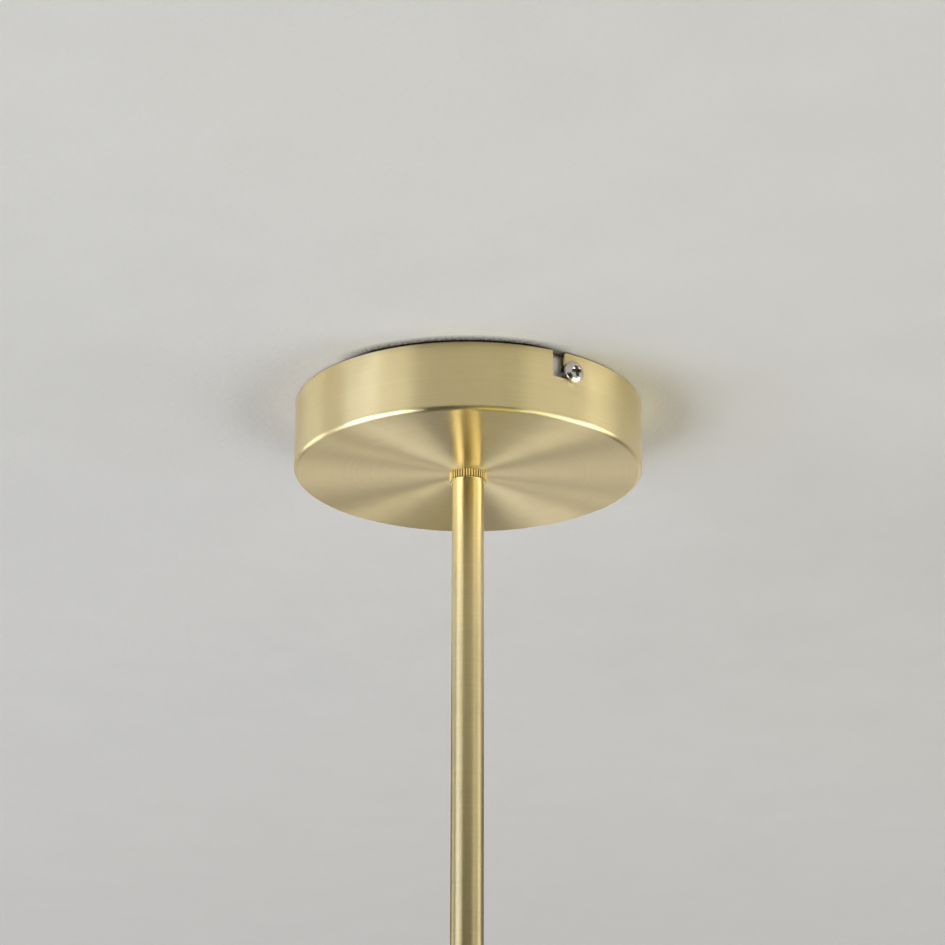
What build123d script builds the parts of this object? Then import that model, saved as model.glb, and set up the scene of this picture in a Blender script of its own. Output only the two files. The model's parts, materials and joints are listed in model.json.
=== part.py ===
from build123d import *
from math import cos, radians, sin, sqrt, tan
import os

# Four-light ceiling light, in millimetres.
# The origin is on the stem's axis in the ceiling plane, +Z points up into the ceiling,
# and the side that faces the viewer is -Y.

# Ceiling cup
canopy_diameter = 120.0
canopy_height = 24.0
canopy_wall = 1.0
canopy_edge_radius = 1.6
ceiling_gap = 0.4

# L-shaped slots in the cup's wall and the two lock screws, M4 pan head
lock_screw_angle = -54.7
lock_screw_drop = 6.9
lock_screw_length = 10.0
screw_diameter = 4.0
screw_head_diameter = 8.0
screw_head_height = 2.6
screw_head_rounding = 1.5
driver_slot_width = 1.1
driver_slot_depth = 1.1
driver_cross_width = 0.9
driver_cross_length = 4.6
driver_cross_depth = 1.9
slot_turn = 5.15
slot_leg_play = 0.8
slot_corner_radius = 0.8

# Ceiling bracket
bracket_width = 20.0
bracket_thickness = 1.5
bracket_bend_radius = 1.0
bracket_ear_drop = 16.0
bracket_ear_gap = 1.4
ear_corner_radius = 4.0
mount_hole_diameter = 5.2
mount_hole_circle = 74.0
cable_hole_diameter = 13.0
thread_collar_wall = 1.2
thread_collar_length = 1.8
thread_funnel_angle = 90

# Stem, knurled rings and the M8 hollow threaded tubes
stem_wall = 1.3
stem_length = 250.0
ring_overhang = 0.95
ring_height = 3.2
ring_groove_depth = 0.35
ring_groove_count = 42
ring_chamfer = 0.3
nipple_diameter = 8.0
nipple_bore = 5.6
nipple_grip = 12.0
nipple_chamfer = 0.5
nut_across_flats = 13.0
nut_height = 4.0
nut_stand = 2.0
canopy_washer_diameter = 24.0
canopy_washer_thickness = 1.2
tooth_washer_diameter = 14.0
tooth_washer_thickness = 0.8
tooth_count = 12
tooth_gap_width = 1.4
tooth_gap_depth = 1.0

# Hub
hub_diameter = 44.0
hub_height = 26.0
hub_top_wall = 6.0
hub_side_wall = 7.0
hub_edge_radius = 1.6
hub_cap_height = 4.0
hub_cap_spigot = 4.0
hub_seat_depth = 0.9
connector_size = 14.0
connector_edge = 1.0
connector_head_room = 1.0
connector_foot_room = 3.0

# Arms
arm_count = 4
arm_wall = 0.8
arm_reach = 165.0
arm_bend_radius = 28.0
arm_foot_margin = 2.0
arm_cable_diameter = 4.0

# Lamp cups, glass and lamps
cup_diameter = 46.0
cup_height = 30.0
cup_wall = 1.0
cup_edge_radius = 1.6
collar_wall = 1.4
collar_recess = 5.0
globe_diameter = 110.0
globe_wall = 2.2
globe_neck_height = 13.0
globe_cup_gap = 0.8
neck_lip_height = 1.6
neck_lip_depth = 0.8
holder_diameter = 20.0
holder_height = 18.0
holder_grip = 4.0
holder_chamfer = 0.8
lamp_diameter = 16.0
lamp_body_length = 38.0
lamp_tip_flat = 2.0
lamp_foot_length = 14.0
lamp_foot_width = 5.0
lamp_foot_height = 6.0
lamp_pin_diameter = 1.6
lamp_pin_spacing = 9.0
lamp_pin_length = 5.0

# Terminal block, earth terminal and leads
block_length = 30.0
block_width = 16.0
block_height = 12.0
block_offset = 18.0
block_pitch = 10.0
block_edge = 0.8
block_foot = 2.6
sleeve_diameter = 5.0
sleeve_bore = 3.0
sleeve_recess = 1.5
clamp_screw_diameter = 2.6
clamp_screw_length = 3.6
clamp_screw_spacing = 8.0
clamp_slot_width = 0.5
clamp_slot_depth = 0.9
fixing_screw_diameter = 3.0
fixing_head_diameter = 4.4
fixing_head_height = 1.6
fixing_slot_width = 0.7
fixing_slot_depth = 0.8
earth_offset = 20.0
earth_head_height = 2.4
earth_slot_width = 1.3
earth_slot_depth = 1.2
earth_washer_diameter = 8.0
earth_washer_thickness = 0.8
eyelet_thickness = 0.8
eyelet_tongue_reach = 6.0
eyelet_barrel_diameter = 3.4
eyelet_barrel_length = 6.0
eyelet_barrel_overlap = 1.0
lead_diameter = 1.8
lead_circle = 2.3
lead_entry = 6.0
lead_fan_reach = 4.5
lead_fan_drop = 1.9
earth_lead_entry = 1.0
lead_bend_share = 0.45
stem_cable_diameter = 5.0
bush_bore = 4.4
bush_sleeve_length = 3.0
bush_rim_height = 1.2

# Clearances
thread_gap = 0.05
hole_gap = 0.2
head_gap = 0.3
fit_gap = 0.1

# Levels along the axis, downwards from the ceiling
canopy_top = -ceiling_gap
canopy_bottom = canopy_top - canopy_height
canopy_floor = canopy_bottom + canopy_wall
stem_top = canopy_bottom - ring_height
stem_bottom = stem_top - stem_length
hub_top = stem_bottom - ring_height
hub_bottom = hub_top - hub_height
hub_ceiling = hub_top - hub_top_wall
arm_level = hub_top - hub_height / 2
arm_foot_length = nipple_grip + arm_foot_margin
arm_foot = arm_level - arm_bend_radius - arm_foot_length
cup_top = arm_foot - ring_height
cup_floor = cup_top - cup_wall
cup_bottom = cup_top - cup_height
tooth_washer_level = canopy_floor + canopy_washer_thickness
canopy_nut_level = tooth_washer_level + tooth_washer_thickness
nipple_top = canopy_nut_level + nut_height + nut_stand
cup_washer_level = cup_floor - collar_wall - tooth_washer_thickness
cup_nut_level = cup_washer_level - nut_height
holder_bottom = cup_nut_level - holder_height
sleeve_level = -bracket_thickness - block_foot - sleeve_diameter / 2
earth_eyelet_level = -bracket_thickness - thread_collar_length
earth_washer_level = earth_eyelet_level - eyelet_thickness
earth_head_level = earth_washer_level - earth_washer_thickness
earth_lead_level = earth_eyelet_level - eyelet_thickness / 2
core_start = nipple_top - bush_sleeve_length
connector_top = hub_ceiling - connector_head_room
connector_height = connector_top - hub_bottom - hub_cap_spigot - connector_foot_room
slot_leg_top = -lock_screw_drop + screw_diameter / 2 + fit_gap
slot_leg_height = screw_diameter + slot_leg_play
slot_notch_depth = canopy_top - slot_leg_top + slot_leg_height

# Widths and radii that follow
slot_notch_width = screw_diameter + 2 * hole_gap
thread_collar_radius = screw_diameter / 2 + thread_collar_wall
tube_bore = nipple_diameter + 2 * hole_gap
stem_diameter = tube_bore + 2 * stem_wall
arm_diameter = tube_bore + 2 * arm_wall
canopy_radius = canopy_diameter / 2
ear_face = canopy_radius - canopy_wall - bracket_ear_gap
ear_inside = ear_face - bracket_thickness
ring_diameter = stem_diameter + 2 * ring_overhang
arm_ring_diameter = arm_diameter + 2 * ring_overhang
hub_cavity = hub_diameter / 2 - hub_side_wall
hub_seat = hub_diameter / 2 - hub_seat_depth
arm_start = hub_seat + ring_height
cup_radius = cup_diameter / 2
collar_radius = cup_radius - cup_wall - fit_gap
collar_height = cup_height - cup_wall - collar_recess
neck_radius = collar_radius - collar_wall - hole_gap - neck_lip_depth
globe_radius = globe_diameter / 2
globe_inside = globe_radius - globe_wall
globe_centre = cup_bottom - globe_cup_gap - sqrt(globe_radius**2 - cup_radius**2)
neck_bore = neck_radius - globe_wall
neck_base = sqrt(globe_radius**2 - neck_radius**2)
neck_top = neck_base + globe_neck_height
bore_base = sqrt(globe_inside**2 - neck_bore**2)

arm_angles = [360 / arm_count * number for number in range(arm_count)]
screw_angles = [lock_screw_angle, lock_screw_angle + 180]

os.makedirs("parts", exist_ok=True)


def save(part, name):
    """Labels one finished sub-part and writes its file."""
    part.label = name
    export_step(part, f"parts/{name}.step")


def upright_plane(angle, reach=0.0, level=0.0):
    """Upright plane through the axis: x outwards at the angle, y up, from a point at the reach."""
    turn = radians(angle)
    return Plane(
        origin=(reach * cos(turn), reach * sin(turn), level),
        x_dir=(cos(turn), sin(turn), 0),
        z_dir=(sin(turn), -cos(turn), 0),
    )


def outward_plane(angle, reach, level):
    """Upright plane that faces outwards at the angle: x anticlockwise, y up."""
    turn = radians(angle)
    return Plane(
        origin=(reach * cos(turn), reach * sin(turn), level),
        x_dir=(-sin(turn), cos(turn), 0),
        z_dir=(cos(turn), sin(turn), 0),
    )


def plumb_line(angle, reach):
    """The vertical line at the reach."""
    turn = radians(angle)
    return Axis((reach * cos(turn), reach * sin(turn), 0), (0, 0, 1))


def level_spot(angle, reach, level):
    """Level plane whose origin is at the reach and whose x axis points outwards at the angle."""
    turn = radians(angle)
    return Plane(
        origin=(reach * cos(turn), reach * sin(turn), level),
        x_dir=(cos(turn), sin(turn), 0),
        z_dir=(0, 0, 1),
    )


def bend_radii(points):
    """Corner radii as large as the two runs at each corner allow."""
    places = [Vector(*point) for point in points]
    radii = []
    for before, corner, after in zip(places, places[1:], places[2:]):
        first = corner - before
        second = after - corner
        shorter = min(first.length, second.length)
        radii.append(lead_bend_share * shorter / tan(radians(first.get_angle(second) / 2)))
    return radii


def knurled_ring(plane, outer_diameter):
    """Straight-knurled ring that stands on the plane, bored for the threaded tube."""
    groove_side = ring_groove_depth * sqrt(2)
    with BuildPart() as ring:
        with BuildSketch(plane):
            Circle(outer_diameter / 2)
            Circle(nipple_diameter / 2 + thread_gap, mode=Mode.SUBTRACT)
        extrude(amount=ring_height)
        chamfer(ring.edges().filter_by(GeomType.CIRCLE).group_by(SortBy.RADIUS)[-1], length=ring_chamfer)
        with BuildSketch(plane):
            with PolarLocations(outer_diameter / 2, ring_groove_count):
                Rectangle(groove_side, groove_side, rotation=45)
        extrude(amount=ring_height, mode=Mode.SUBTRACT)
    return ring.part


def hollow_nipple(plane, length):
    """Hollow threaded tube that stands on the plane."""
    with BuildPart() as nipple:
        with BuildSketch(plane):
            Circle(nipple_diameter / 2)
            Circle(nipple_bore / 2, mode=Mode.SUBTRACT)
        extrude(amount=length)
        chamfer(nipple.edges().filter_by(GeomType.CIRCLE).group_by(SortBy.RADIUS)[-1], length=nipple_chamfer)
    return nipple.part


def hex_nut(plane):
    """Hexagon nut that stands on the plane."""
    with BuildPart() as nut:
        with BuildSketch(plane):
            RegularPolygon(nut_across_flats / 2, 6, major_radius=False)
            Circle(nipple_diameter / 2 + thread_gap, mode=Mode.SUBTRACT)
        extrude(amount=nut_height)
    return nut.part


def tooth_washer(plane):
    """Flat lock washer with teeth around its rim, on the plane."""
    with BuildPart() as washer:
        with BuildSketch(plane):
            Circle(tooth_washer_diameter / 2)
            with PolarLocations(tooth_washer_diameter / 2, tooth_count):
                Rectangle(2 * tooth_gap_depth, tooth_gap_width, mode=Mode.SUBTRACT)
            Circle(nipple_diameter / 2 + hole_gap, mode=Mode.SUBTRACT)
        extrude(amount=tooth_washer_thickness)
    return washer.part


def slotted_screw(plane, shank_diameter, shank_length, head_diameter, head_height, slot_width, slot_depth):
    """Cheese-head screw: the head stands on the plane and the shank goes into it."""
    with BuildPart() as screw:
        with BuildSketch(plane):
            Circle(head_diameter / 2)
        extrude(amount=head_height)
        with BuildSketch(plane.offset(head_height)):
            Rectangle(2 * head_diameter, slot_width)
        extrude(amount=-slot_depth, mode=Mode.SUBTRACT)
        with BuildSketch(plane):
            Circle(shank_diameter / 2)
        extrude(amount=-shank_length)
    return screw.part


def lead_along(plane, points, diameter):
    """Round lead along straight runs joined by tangent arcs, in the plane's own axes."""
    radii = bend_radii(points)
    print("lead bend radii", [round(radius, 1) for radius in radii])
    with BuildPart() as lead:
        with BuildLine(plane) as route:
            FilletPolyline(*points, radius=radii)
        with BuildSketch(Plane(origin=route.line @ 0, z_dir=route.line % 0)):
            Circle(diameter / 2)
        sweep()
    return lead.part


# Ceiling bracket: a strip with both ends folded down into ears
bracket_flat = level_spot(lock_screw_angle, 0, 0)
with BuildPart() as ceiling_bracket:
    with BuildSketch(upright_plane(lock_screw_angle)) as fold:
        with BuildLine():
            Polyline(
                (-ear_face, -bracket_ear_drop),
                (-ear_face, 0),
                (ear_face, 0),
                (ear_face, -bracket_ear_drop),
                (ear_inside, -bracket_ear_drop),
                (ear_inside, -bracket_thickness),
                (-ear_inside, -bracket_thickness),
                (-ear_inside, -bracket_ear_drop),
                close=True,
            )
        make_face()
        outer_folds = fold.vertices().group_by(Axis.Y)[-1]
        inner_folds = fold.vertices().group_by(Axis.Y)[-2]
        fillet(outer_folds, radius=bracket_bend_radius + bracket_thickness)
        fillet(inner_folds, radius=bracket_bend_radius)
    extrude(amount=bracket_width / 2, both=True)
    ear_corners = ceiling_bracket.edges().filter_by(Axis((0, 0, 0), bracket_flat.x_dir))
    fillet(ear_corners.group_by(Axis.Z)[0], radius=ear_corner_radius)
    # the threads for the lock screws are drawn inwards out of the ears, the earth thread downwards
    for angle in screw_angles:
        with BuildSketch(outward_plane(angle, ear_inside, -lock_screw_drop)):
            Circle(thread_collar_radius)
        extrude(amount=-thread_collar_length)
        with Locations(outward_plane(angle, ear_face, -lock_screw_drop)):
            CounterSinkHole(
                screw_diameter / 2 + thread_gap,
                thread_collar_radius,
                depth=bracket_thickness + thread_collar_length,
                counter_sink_angle=thread_funnel_angle,
            )
    with BuildSketch(bracket_flat.offset(-bracket_thickness)):
        with Locations((-earth_offset, 0)):
            Circle(thread_collar_radius)
    extrude(amount=-thread_collar_length)
    with BuildSketch(bracket_flat):
        Circle(cable_hole_diameter / 2)
        with Locations((-mount_hole_circle / 2, 0), (mount_hole_circle / 2, 0)):
            Circle(mount_hole_diameter / 2)
        with Locations((-earth_offset, 0)):
            Circle(screw_diameter / 2 + thread_gap)
        with Locations((block_offset, -block_pitch / 2), (block_offset, block_pitch / 2)):
            Circle(fixing_screw_diameter / 2 + thread_gap)
    extrude(amount=-bracket_ear_drop, mode=Mode.SUBTRACT)
save(ceiling_bracket.part, "ceiling_bracket")

# Lock screws: pan heads with a slot and a cross
for angle, side in zip(screw_angles, ["front", "rear"]):
    head_plane = outward_plane(angle, canopy_radius + head_gap, -lock_screw_drop)
    with BuildPart() as lock_screw:
        with BuildSketch(head_plane):
            Circle(screw_head_diameter / 2)
        extrude(amount=screw_head_height)
        crown = lock_screw.faces().sort_by(Axis((0, 0, 0), head_plane.z_dir))[-1]
        fillet(crown.edges(), radius=screw_head_rounding)
        with BuildSketch(head_plane.offset(screw_head_height)):
            Rectangle(driver_slot_width, 2 * screw_head_diameter)
        extrude(amount=-driver_slot_depth, mode=Mode.SUBTRACT)
        with BuildSketch(head_plane.offset(screw_head_height)):
            Rectangle(driver_cross_width, driver_cross_length)
            Rectangle(driver_cross_length, driver_cross_width)
        extrude(amount=-driver_cross_depth, mode=Mode.SUBTRACT)
        with BuildSketch(head_plane):
            Circle(screw_diameter / 2)
        extrude(amount=-lock_screw_length)
    save(lock_screw.part, f"lock_screw_{side}")

# Terminal block: three poles across the strip
pole_places = [(block_offset, block_pitch * step) for step in (-1, 0, 1)]
block_bottom = -bracket_thickness - block_height
block_middle = Plane(
    origin=bracket_flat.from_local_coords(Vector(block_offset, 0, sleeve_level)),
    x_dir=bracket_flat.y_dir,
    z_dir=bracket_flat.x_dir,
)
with BuildPart() as terminal_block:
    with BuildSketch(bracket_flat.offset(-bracket_thickness)):
        with Locations((block_offset, 0)):
            Rectangle(block_width, block_length)
    extrude(amount=-block_height)
    chamfer(terminal_block.edges().group_by(Axis.Z)[0], length=block_edge)
    with BuildSketch(block_middle):
        with GridLocations(block_pitch, 1, 3, 1):
            Circle(sleeve_diameter / 2 + fit_gap)
    extrude(amount=block_width, both=True, mode=Mode.SUBTRACT)
    with BuildSketch(bracket_flat.offset(block_bottom)):
        with Locations(*pole_places):
            with GridLocations(clamp_screw_spacing, 1, 2, 1):
                Circle(clamp_screw_diameter / 2 + hole_gap)
    extrude(amount=sleeve_level - block_bottom, mode=Mode.SUBTRACT)
    with Locations(bracket_flat.offset(block_bottom) * Rotation(180, 0, 0)):
        with Locations((block_offset, -block_pitch / 2), (block_offset, block_pitch / 2)):
            CounterBoreHole(
                fixing_screw_diameter / 2 + hole_gap,
                fixing_head_diameter / 2 + hole_gap,
                fixing_head_height + hole_gap,
                depth=block_height,
            )
save(terminal_block.part, "terminal_block")

with BuildPart() as terminal_sleeves:
    with BuildSketch(block_middle):
        with GridLocations(block_pitch, 1, 3, 1):
            Circle(sleeve_diameter / 2)
            Circle(sleeve_bore / 2, mode=Mode.SUBTRACT)
    extrude(amount=block_width / 2 - sleeve_recess, both=True)
    with BuildSketch(bracket_flat.offset(sleeve_level)):
        with Locations(*pole_places):
            with GridLocations(clamp_screw_spacing, 1, 2, 1):
                Circle(clamp_screw_diameter / 2 + thread_gap)
    extrude(amount=-sleeve_diameter, mode=Mode.SUBTRACT)
save(terminal_sleeves.part, "terminal_sleeves")

clamp_tip = sleeve_level - lead_diameter / 2 - fit_gap
with BuildPart() as terminal_clamp_screws:
    with BuildSketch(bracket_flat.offset(clamp_tip)):
        with Locations(*pole_places):
            with GridLocations(clamp_screw_spacing, 1, 2, 1):
                Circle(clamp_screw_diameter / 2)
    extrude(amount=-clamp_screw_length)
    with BuildSketch(bracket_flat.offset(clamp_tip - clamp_screw_length)):
        with Locations(*pole_places):
            with GridLocations(clamp_screw_spacing, 1, 2, 1):
                Rectangle(2 * clamp_screw_diameter, clamp_slot_width)
    extrude(amount=clamp_slot_depth, mode=Mode.SUBTRACT)
save(terminal_clamp_screws.part, "terminal_clamp_screws")

fixing_head_level = block_bottom + fixing_head_height
with BuildPart() as terminal_fixing_screws:
    for step in (-1, 1):
        place = bracket_flat.from_local_coords(Vector(block_offset, step * block_pitch / 2, fixing_head_level))
        add(
            slotted_screw(
                Plane(origin=place, x_dir=bracket_flat.x_dir, z_dir=(0, 0, -1)),
                fixing_screw_diameter,
                block_height - fixing_head_height + bracket_thickness,
                fixing_head_diameter,
                fixing_head_height,
                fixing_slot_width,
                fixing_slot_depth,
            )
        )
save(terminal_fixing_screws.part, "terminal_fixing_screws")

# Earth terminal under the strip, on the other side of the cable hole
earth_place = bracket_flat.from_local_coords(Vector(-earth_offset, 0, 0))
barrel_start = -earth_offset + eyelet_tongue_reach - eyelet_barrel_overlap
barrel_face = Plane(
    origin=bracket_flat.from_local_coords(Vector(barrel_start, 0, earth_lead_level)),
    x_dir=bracket_flat.y_dir,
    z_dir=bracket_flat.x_dir,
)
with BuildPart() as earth_eyelet:
    with BuildSketch(bracket_flat.offset(earth_eyelet_level)):
        with Locations((-earth_offset, 0)):
            Circle(earth_washer_diameter / 2)
        with Locations((-earth_offset + eyelet_tongue_reach / 2, 0)):
            Rectangle(eyelet_tongue_reach, eyelet_barrel_diameter)
        with Locations((-earth_offset, 0)):
            Circle(screw_diameter / 2 + hole_gap, mode=Mode.SUBTRACT)
    extrude(amount=-eyelet_thickness)
    with BuildSketch(barrel_face):
        Circle(eyelet_barrel_diameter / 2)
    extrude(amount=eyelet_barrel_length)
    with BuildSketch(barrel_face):
        Circle(lead_diameter / 2 + fit_gap)
    extrude(amount=eyelet_barrel_length, mode=Mode.SUBTRACT)
save(earth_eyelet.part, "earth_eyelet")

with BuildPart() as earth_washer:
    with BuildSketch(bracket_flat.offset(earth_washer_level)):
        with Locations((-earth_offset, 0)):
            Circle(earth_washer_diameter / 2)
            Circle(screw_diameter / 2 + hole_gap, mode=Mode.SUBTRACT)
    extrude(amount=-earth_washer_thickness)
save(earth_washer.part, "earth_washer")

earth_screw = slotted_screw(
    Plane(origin=earth_place + Vector(0, 0, earth_head_level), x_dir=bracket_flat.x_dir, z_dir=(0, 0, -1)),
    screw_diameter,
    -earth_head_level - fit_gap,
    screw_head_diameter,
    earth_head_height,
    earth_slot_width,
    earth_slot_depth,
)
save(earth_screw, "earth_screw")

# Leads from the stem's mouth, where the three cores lie a third of a turn apart, to the terminals
core_reach = lead_circle / 2
side_x = core_reach * cos(radians(60))
side_y = core_reach * sin(radians(60))
lead_end = block_offset - block_width / 2 + lead_entry
fan_level = sleeve_level - lead_fan_drop
for name, side in (("live_lead", 1), ("neutral_lead", -1)):
    route_points = [
        (side_x, side * side_y, core_start),
        (side_x, side * side_y, fan_level),
        (lead_fan_reach, side * block_pitch, sleeve_level),
        (lead_end, side * block_pitch, sleeve_level),
    ]
    save(lead_along(bracket_flat, route_points, lead_diameter), name)
earth_points = [
    (-core_reach, 0, core_start),
    (-core_reach, 0, earth_lead_level),
    (barrel_start + earth_lead_entry, 0, earth_lead_level),
]
save(lead_along(bracket_flat, earth_points, lead_diameter), "earth_lead")

# Ceiling cup: spun brass with a rounded lower edge and two L-shaped slots from the rim
notch_offset = canopy_radius * sin(radians(slot_turn))
leg_drop = slot_leg_height / 2 - slot_notch_depth
with BuildPart() as canopy:
    with BuildSketch(Plane.XY.offset(canopy_top)):
        Circle(canopy_radius)
    extrude(amount=-canopy_height)
    fillet(canopy.edges().sort_by(Axis.Z)[0], radius=canopy_edge_radius)
    offset(amount=-canopy_wall, openings=canopy.faces().sort_by(Axis.Z)[-1])
    with BuildSketch(Plane.XY.offset(canopy_bottom)):
        Circle(nipple_diameter / 2 + hole_gap)
    extrude(amount=canopy_wall, mode=Mode.SUBTRACT)
    for angle in screw_angles:
        with BuildSketch(outward_plane(angle, ear_face, canopy_top)):
            with Locations((-notch_offset, -slot_notch_depth / 2)):
                Rectangle(slot_notch_width, slot_notch_depth)
            with Locations((-notch_offset / 2, leg_drop)):
                Rectangle(notch_offset, slot_leg_height)
            with Locations((0, leg_drop)):
                Circle(slot_leg_height / 2)
        extrude(amount=canopy_radius, mode=Mode.SUBTRACT)
    mouth_corners = canopy.edges().filter_by(GeomType.LINE).group_by(Axis.Z)[-1]
    fillet(mouth_corners, radius=slot_corner_radius)
save(canopy.part, "canopy")

# What clamps the cup: ring below, washers and nut above, all on one hollow threaded tube
stem_nipple_foot = stem_top - nipple_grip
nipple_length = nipple_top - stem_nipple_foot
save(hollow_nipple(Plane.XY.offset(stem_nipple_foot), nipple_length), "canopy_nipple")

with BuildPart() as canopy_washer:
    with BuildSketch(Plane.XY.offset(canopy_floor)):
        Circle(canopy_washer_diameter / 2)
        Circle(nipple_diameter / 2 + hole_gap, mode=Mode.SUBTRACT)
    extrude(amount=canopy_washer_thickness)
save(canopy_washer.part, "canopy_washer")
save(tooth_washer(Plane.XY.offset(tooth_washer_level)), "canopy_tooth_washer")
save(hex_nut(Plane.XY.offset(canopy_nut_level)), "canopy_nut")

with BuildPart() as wire_bush:
    with BuildSketch(Plane.XY.offset(nipple_top)):
        Circle(nipple_diameter / 2)
    extrude(amount=bush_rim_height)
    with BuildSketch(Plane.XY.offset(nipple_top)):
        Circle(nipple_bore / 2 - thread_gap)
    extrude(amount=-bush_sleeve_length)
    with BuildSketch(Plane.XY.offset(nipple_top + bush_rim_height)):
        Circle(bush_bore / 2)
    extrude(amount=-bush_rim_height - bush_sleeve_length, mode=Mode.SUBTRACT)
save(wire_bush.part, "wire_bush")

# Stem
save(knurled_ring(Plane.XY.offset(stem_top), ring_diameter), "stem_top_ring")
with BuildPart() as stem_tube:
    with BuildSketch(Plane.XY.offset(stem_bottom)):
        Circle(stem_diameter / 2)
        Circle(tube_bore / 2, mode=Mode.SUBTRACT)
    extrude(amount=stem_length)
save(stem_tube.part, "stem_tube")
save(knurled_ring(Plane.XY.offset(hub_top), ring_diameter), "stem_foot_ring")

with BuildPart() as stem_cable:
    with BuildSketch(Plane.XY.offset(connector_top)):
        Circle(stem_cable_diameter / 2)
    extrude(amount=core_start - connector_top)
save(stem_cable.part, "stem_cable")

# Hub: turned block with a cavity, closed by a cap from below
hub_nipple_length = stem_bottom + nipple_grip - hub_ceiling
save(hollow_nipple(Plane.XY.offset(hub_ceiling), hub_nipple_length), "hub_nipple")

with BuildPart() as hub_body:
    with BuildSketch(Plane.XY.offset(hub_bottom)):
        Circle(hub_diameter / 2)
    extrude(amount=hub_height)
    fillet(hub_body.edges().sort_by(Axis.Z)[-1], radius=hub_edge_radius)
    with BuildSketch(Plane.XY.offset(hub_bottom)):
        Circle(hub_cavity)
    extrude(amount=hub_height - hub_top_wall, mode=Mode.SUBTRACT)
    with BuildSketch(Plane.XY.offset(hub_ceiling)):
        Circle(nipple_diameter / 2 + thread_gap)
    extrude(amount=hub_top_wall, mode=Mode.SUBTRACT)
    for angle in arm_angles:
        with BuildSketch(outward_plane(angle, hub_seat, arm_level)):
            Circle(arm_ring_diameter / 2 + hole_gap)
        extrude(amount=hub_seat_depth, mode=Mode.SUBTRACT)
        with BuildSketch(outward_plane(angle, hub_seat, arm_level)):
            Circle(nipple_diameter / 2 + thread_gap)
        extrude(amount=-hub_side_wall, mode=Mode.SUBTRACT)
save(hub_body.part, "hub_body")

with BuildPart() as hub_cap:
    with BuildSketch(Plane.XY.offset(hub_bottom)):
        Circle(hub_diameter / 2)
    extrude(amount=-hub_cap_height)
    fillet(hub_cap.edges().sort_by(Axis.Z)[0], radius=hub_edge_radius)
    with BuildSketch(Plane.XY.offset(hub_bottom)):
        Circle(hub_cavity - thread_gap)
    extrude(amount=hub_cap_spigot)
save(hub_cap.part, "hub_cap")

with BuildPart() as hub_connector:
    with BuildSketch(Plane.XY.offset(connector_top)):
        Rectangle(connector_size, connector_size)
    extrude(amount=-connector_height)
    chamfer(hub_connector.edges().filter_by(Axis.Z), length=connector_edge)
save(hub_connector.part, "hub_connector")

# Fasteners of the four arms, grouped by kind
hub_nipple_reach = arm_start + nipple_grip - hub_cavity
cup_nipple_foot = cup_nut_level - holder_grip
cup_nipple_length = arm_foot + nipple_grip - cup_nipple_foot
arm_ring = knurled_ring(Plane.XY, arm_ring_diameter)
arm_nipple = hollow_nipple(Plane.XY, hub_nipple_reach)
cup_nipple = hollow_nipple(Plane.XY, cup_nipple_length)
cup_washer = tooth_washer(Plane.XY)
cup_nut = hex_nut(Plane.XY)
hub_sides = [outward_plane(angle, hub_seat, arm_level) for angle in arm_angles]
nipple_seats = [outward_plane(angle, hub_cavity, arm_level) for angle in arm_angles]

with BuildPart() as arm_rings:
    with Locations(*hub_sides, *[level_spot(angle, arm_reach, cup_top) for angle in arm_angles]):
        add(arm_ring)
save(arm_rings.part, "arm_rings")

with BuildPart() as arm_nipples:
    with Locations(*nipple_seats):
        add(arm_nipple)
    with Locations(*[level_spot(angle, arm_reach, cup_nipple_foot) for angle in arm_angles]):
        add(cup_nipple)
save(arm_nipples.part, "arm_nipples")

with BuildPart() as cup_washers:
    with Locations(*[level_spot(angle, arm_reach, cup_washer_level) for angle in arm_angles]):
        add(cup_washer)
save(cup_washers.part, "cup_washers")

with BuildPart() as cup_nuts:
    with Locations(*[level_spot(angle, arm_reach, cup_nut_level) for angle in arm_angles]):
        add(cup_nut)
save(cup_nuts.part, "cup_nuts")

with BuildPart() as arm_cables:
    for angle in arm_angles:
        with BuildLine(upright_plane(angle)) as cable_route:
            FilletPolyline(
                (connector_size / 2, arm_level),
                (arm_reach, arm_level),
                (arm_reach, cup_nipple_foot),
                radius=arm_bend_radius,
            )
        with BuildSketch(outward_plane(angle, connector_size / 2, arm_level)):
            Circle(arm_cable_diameter / 2)
        sweep(path=cable_route.line)
save(arm_cables.part, "arm_cables")

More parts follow.
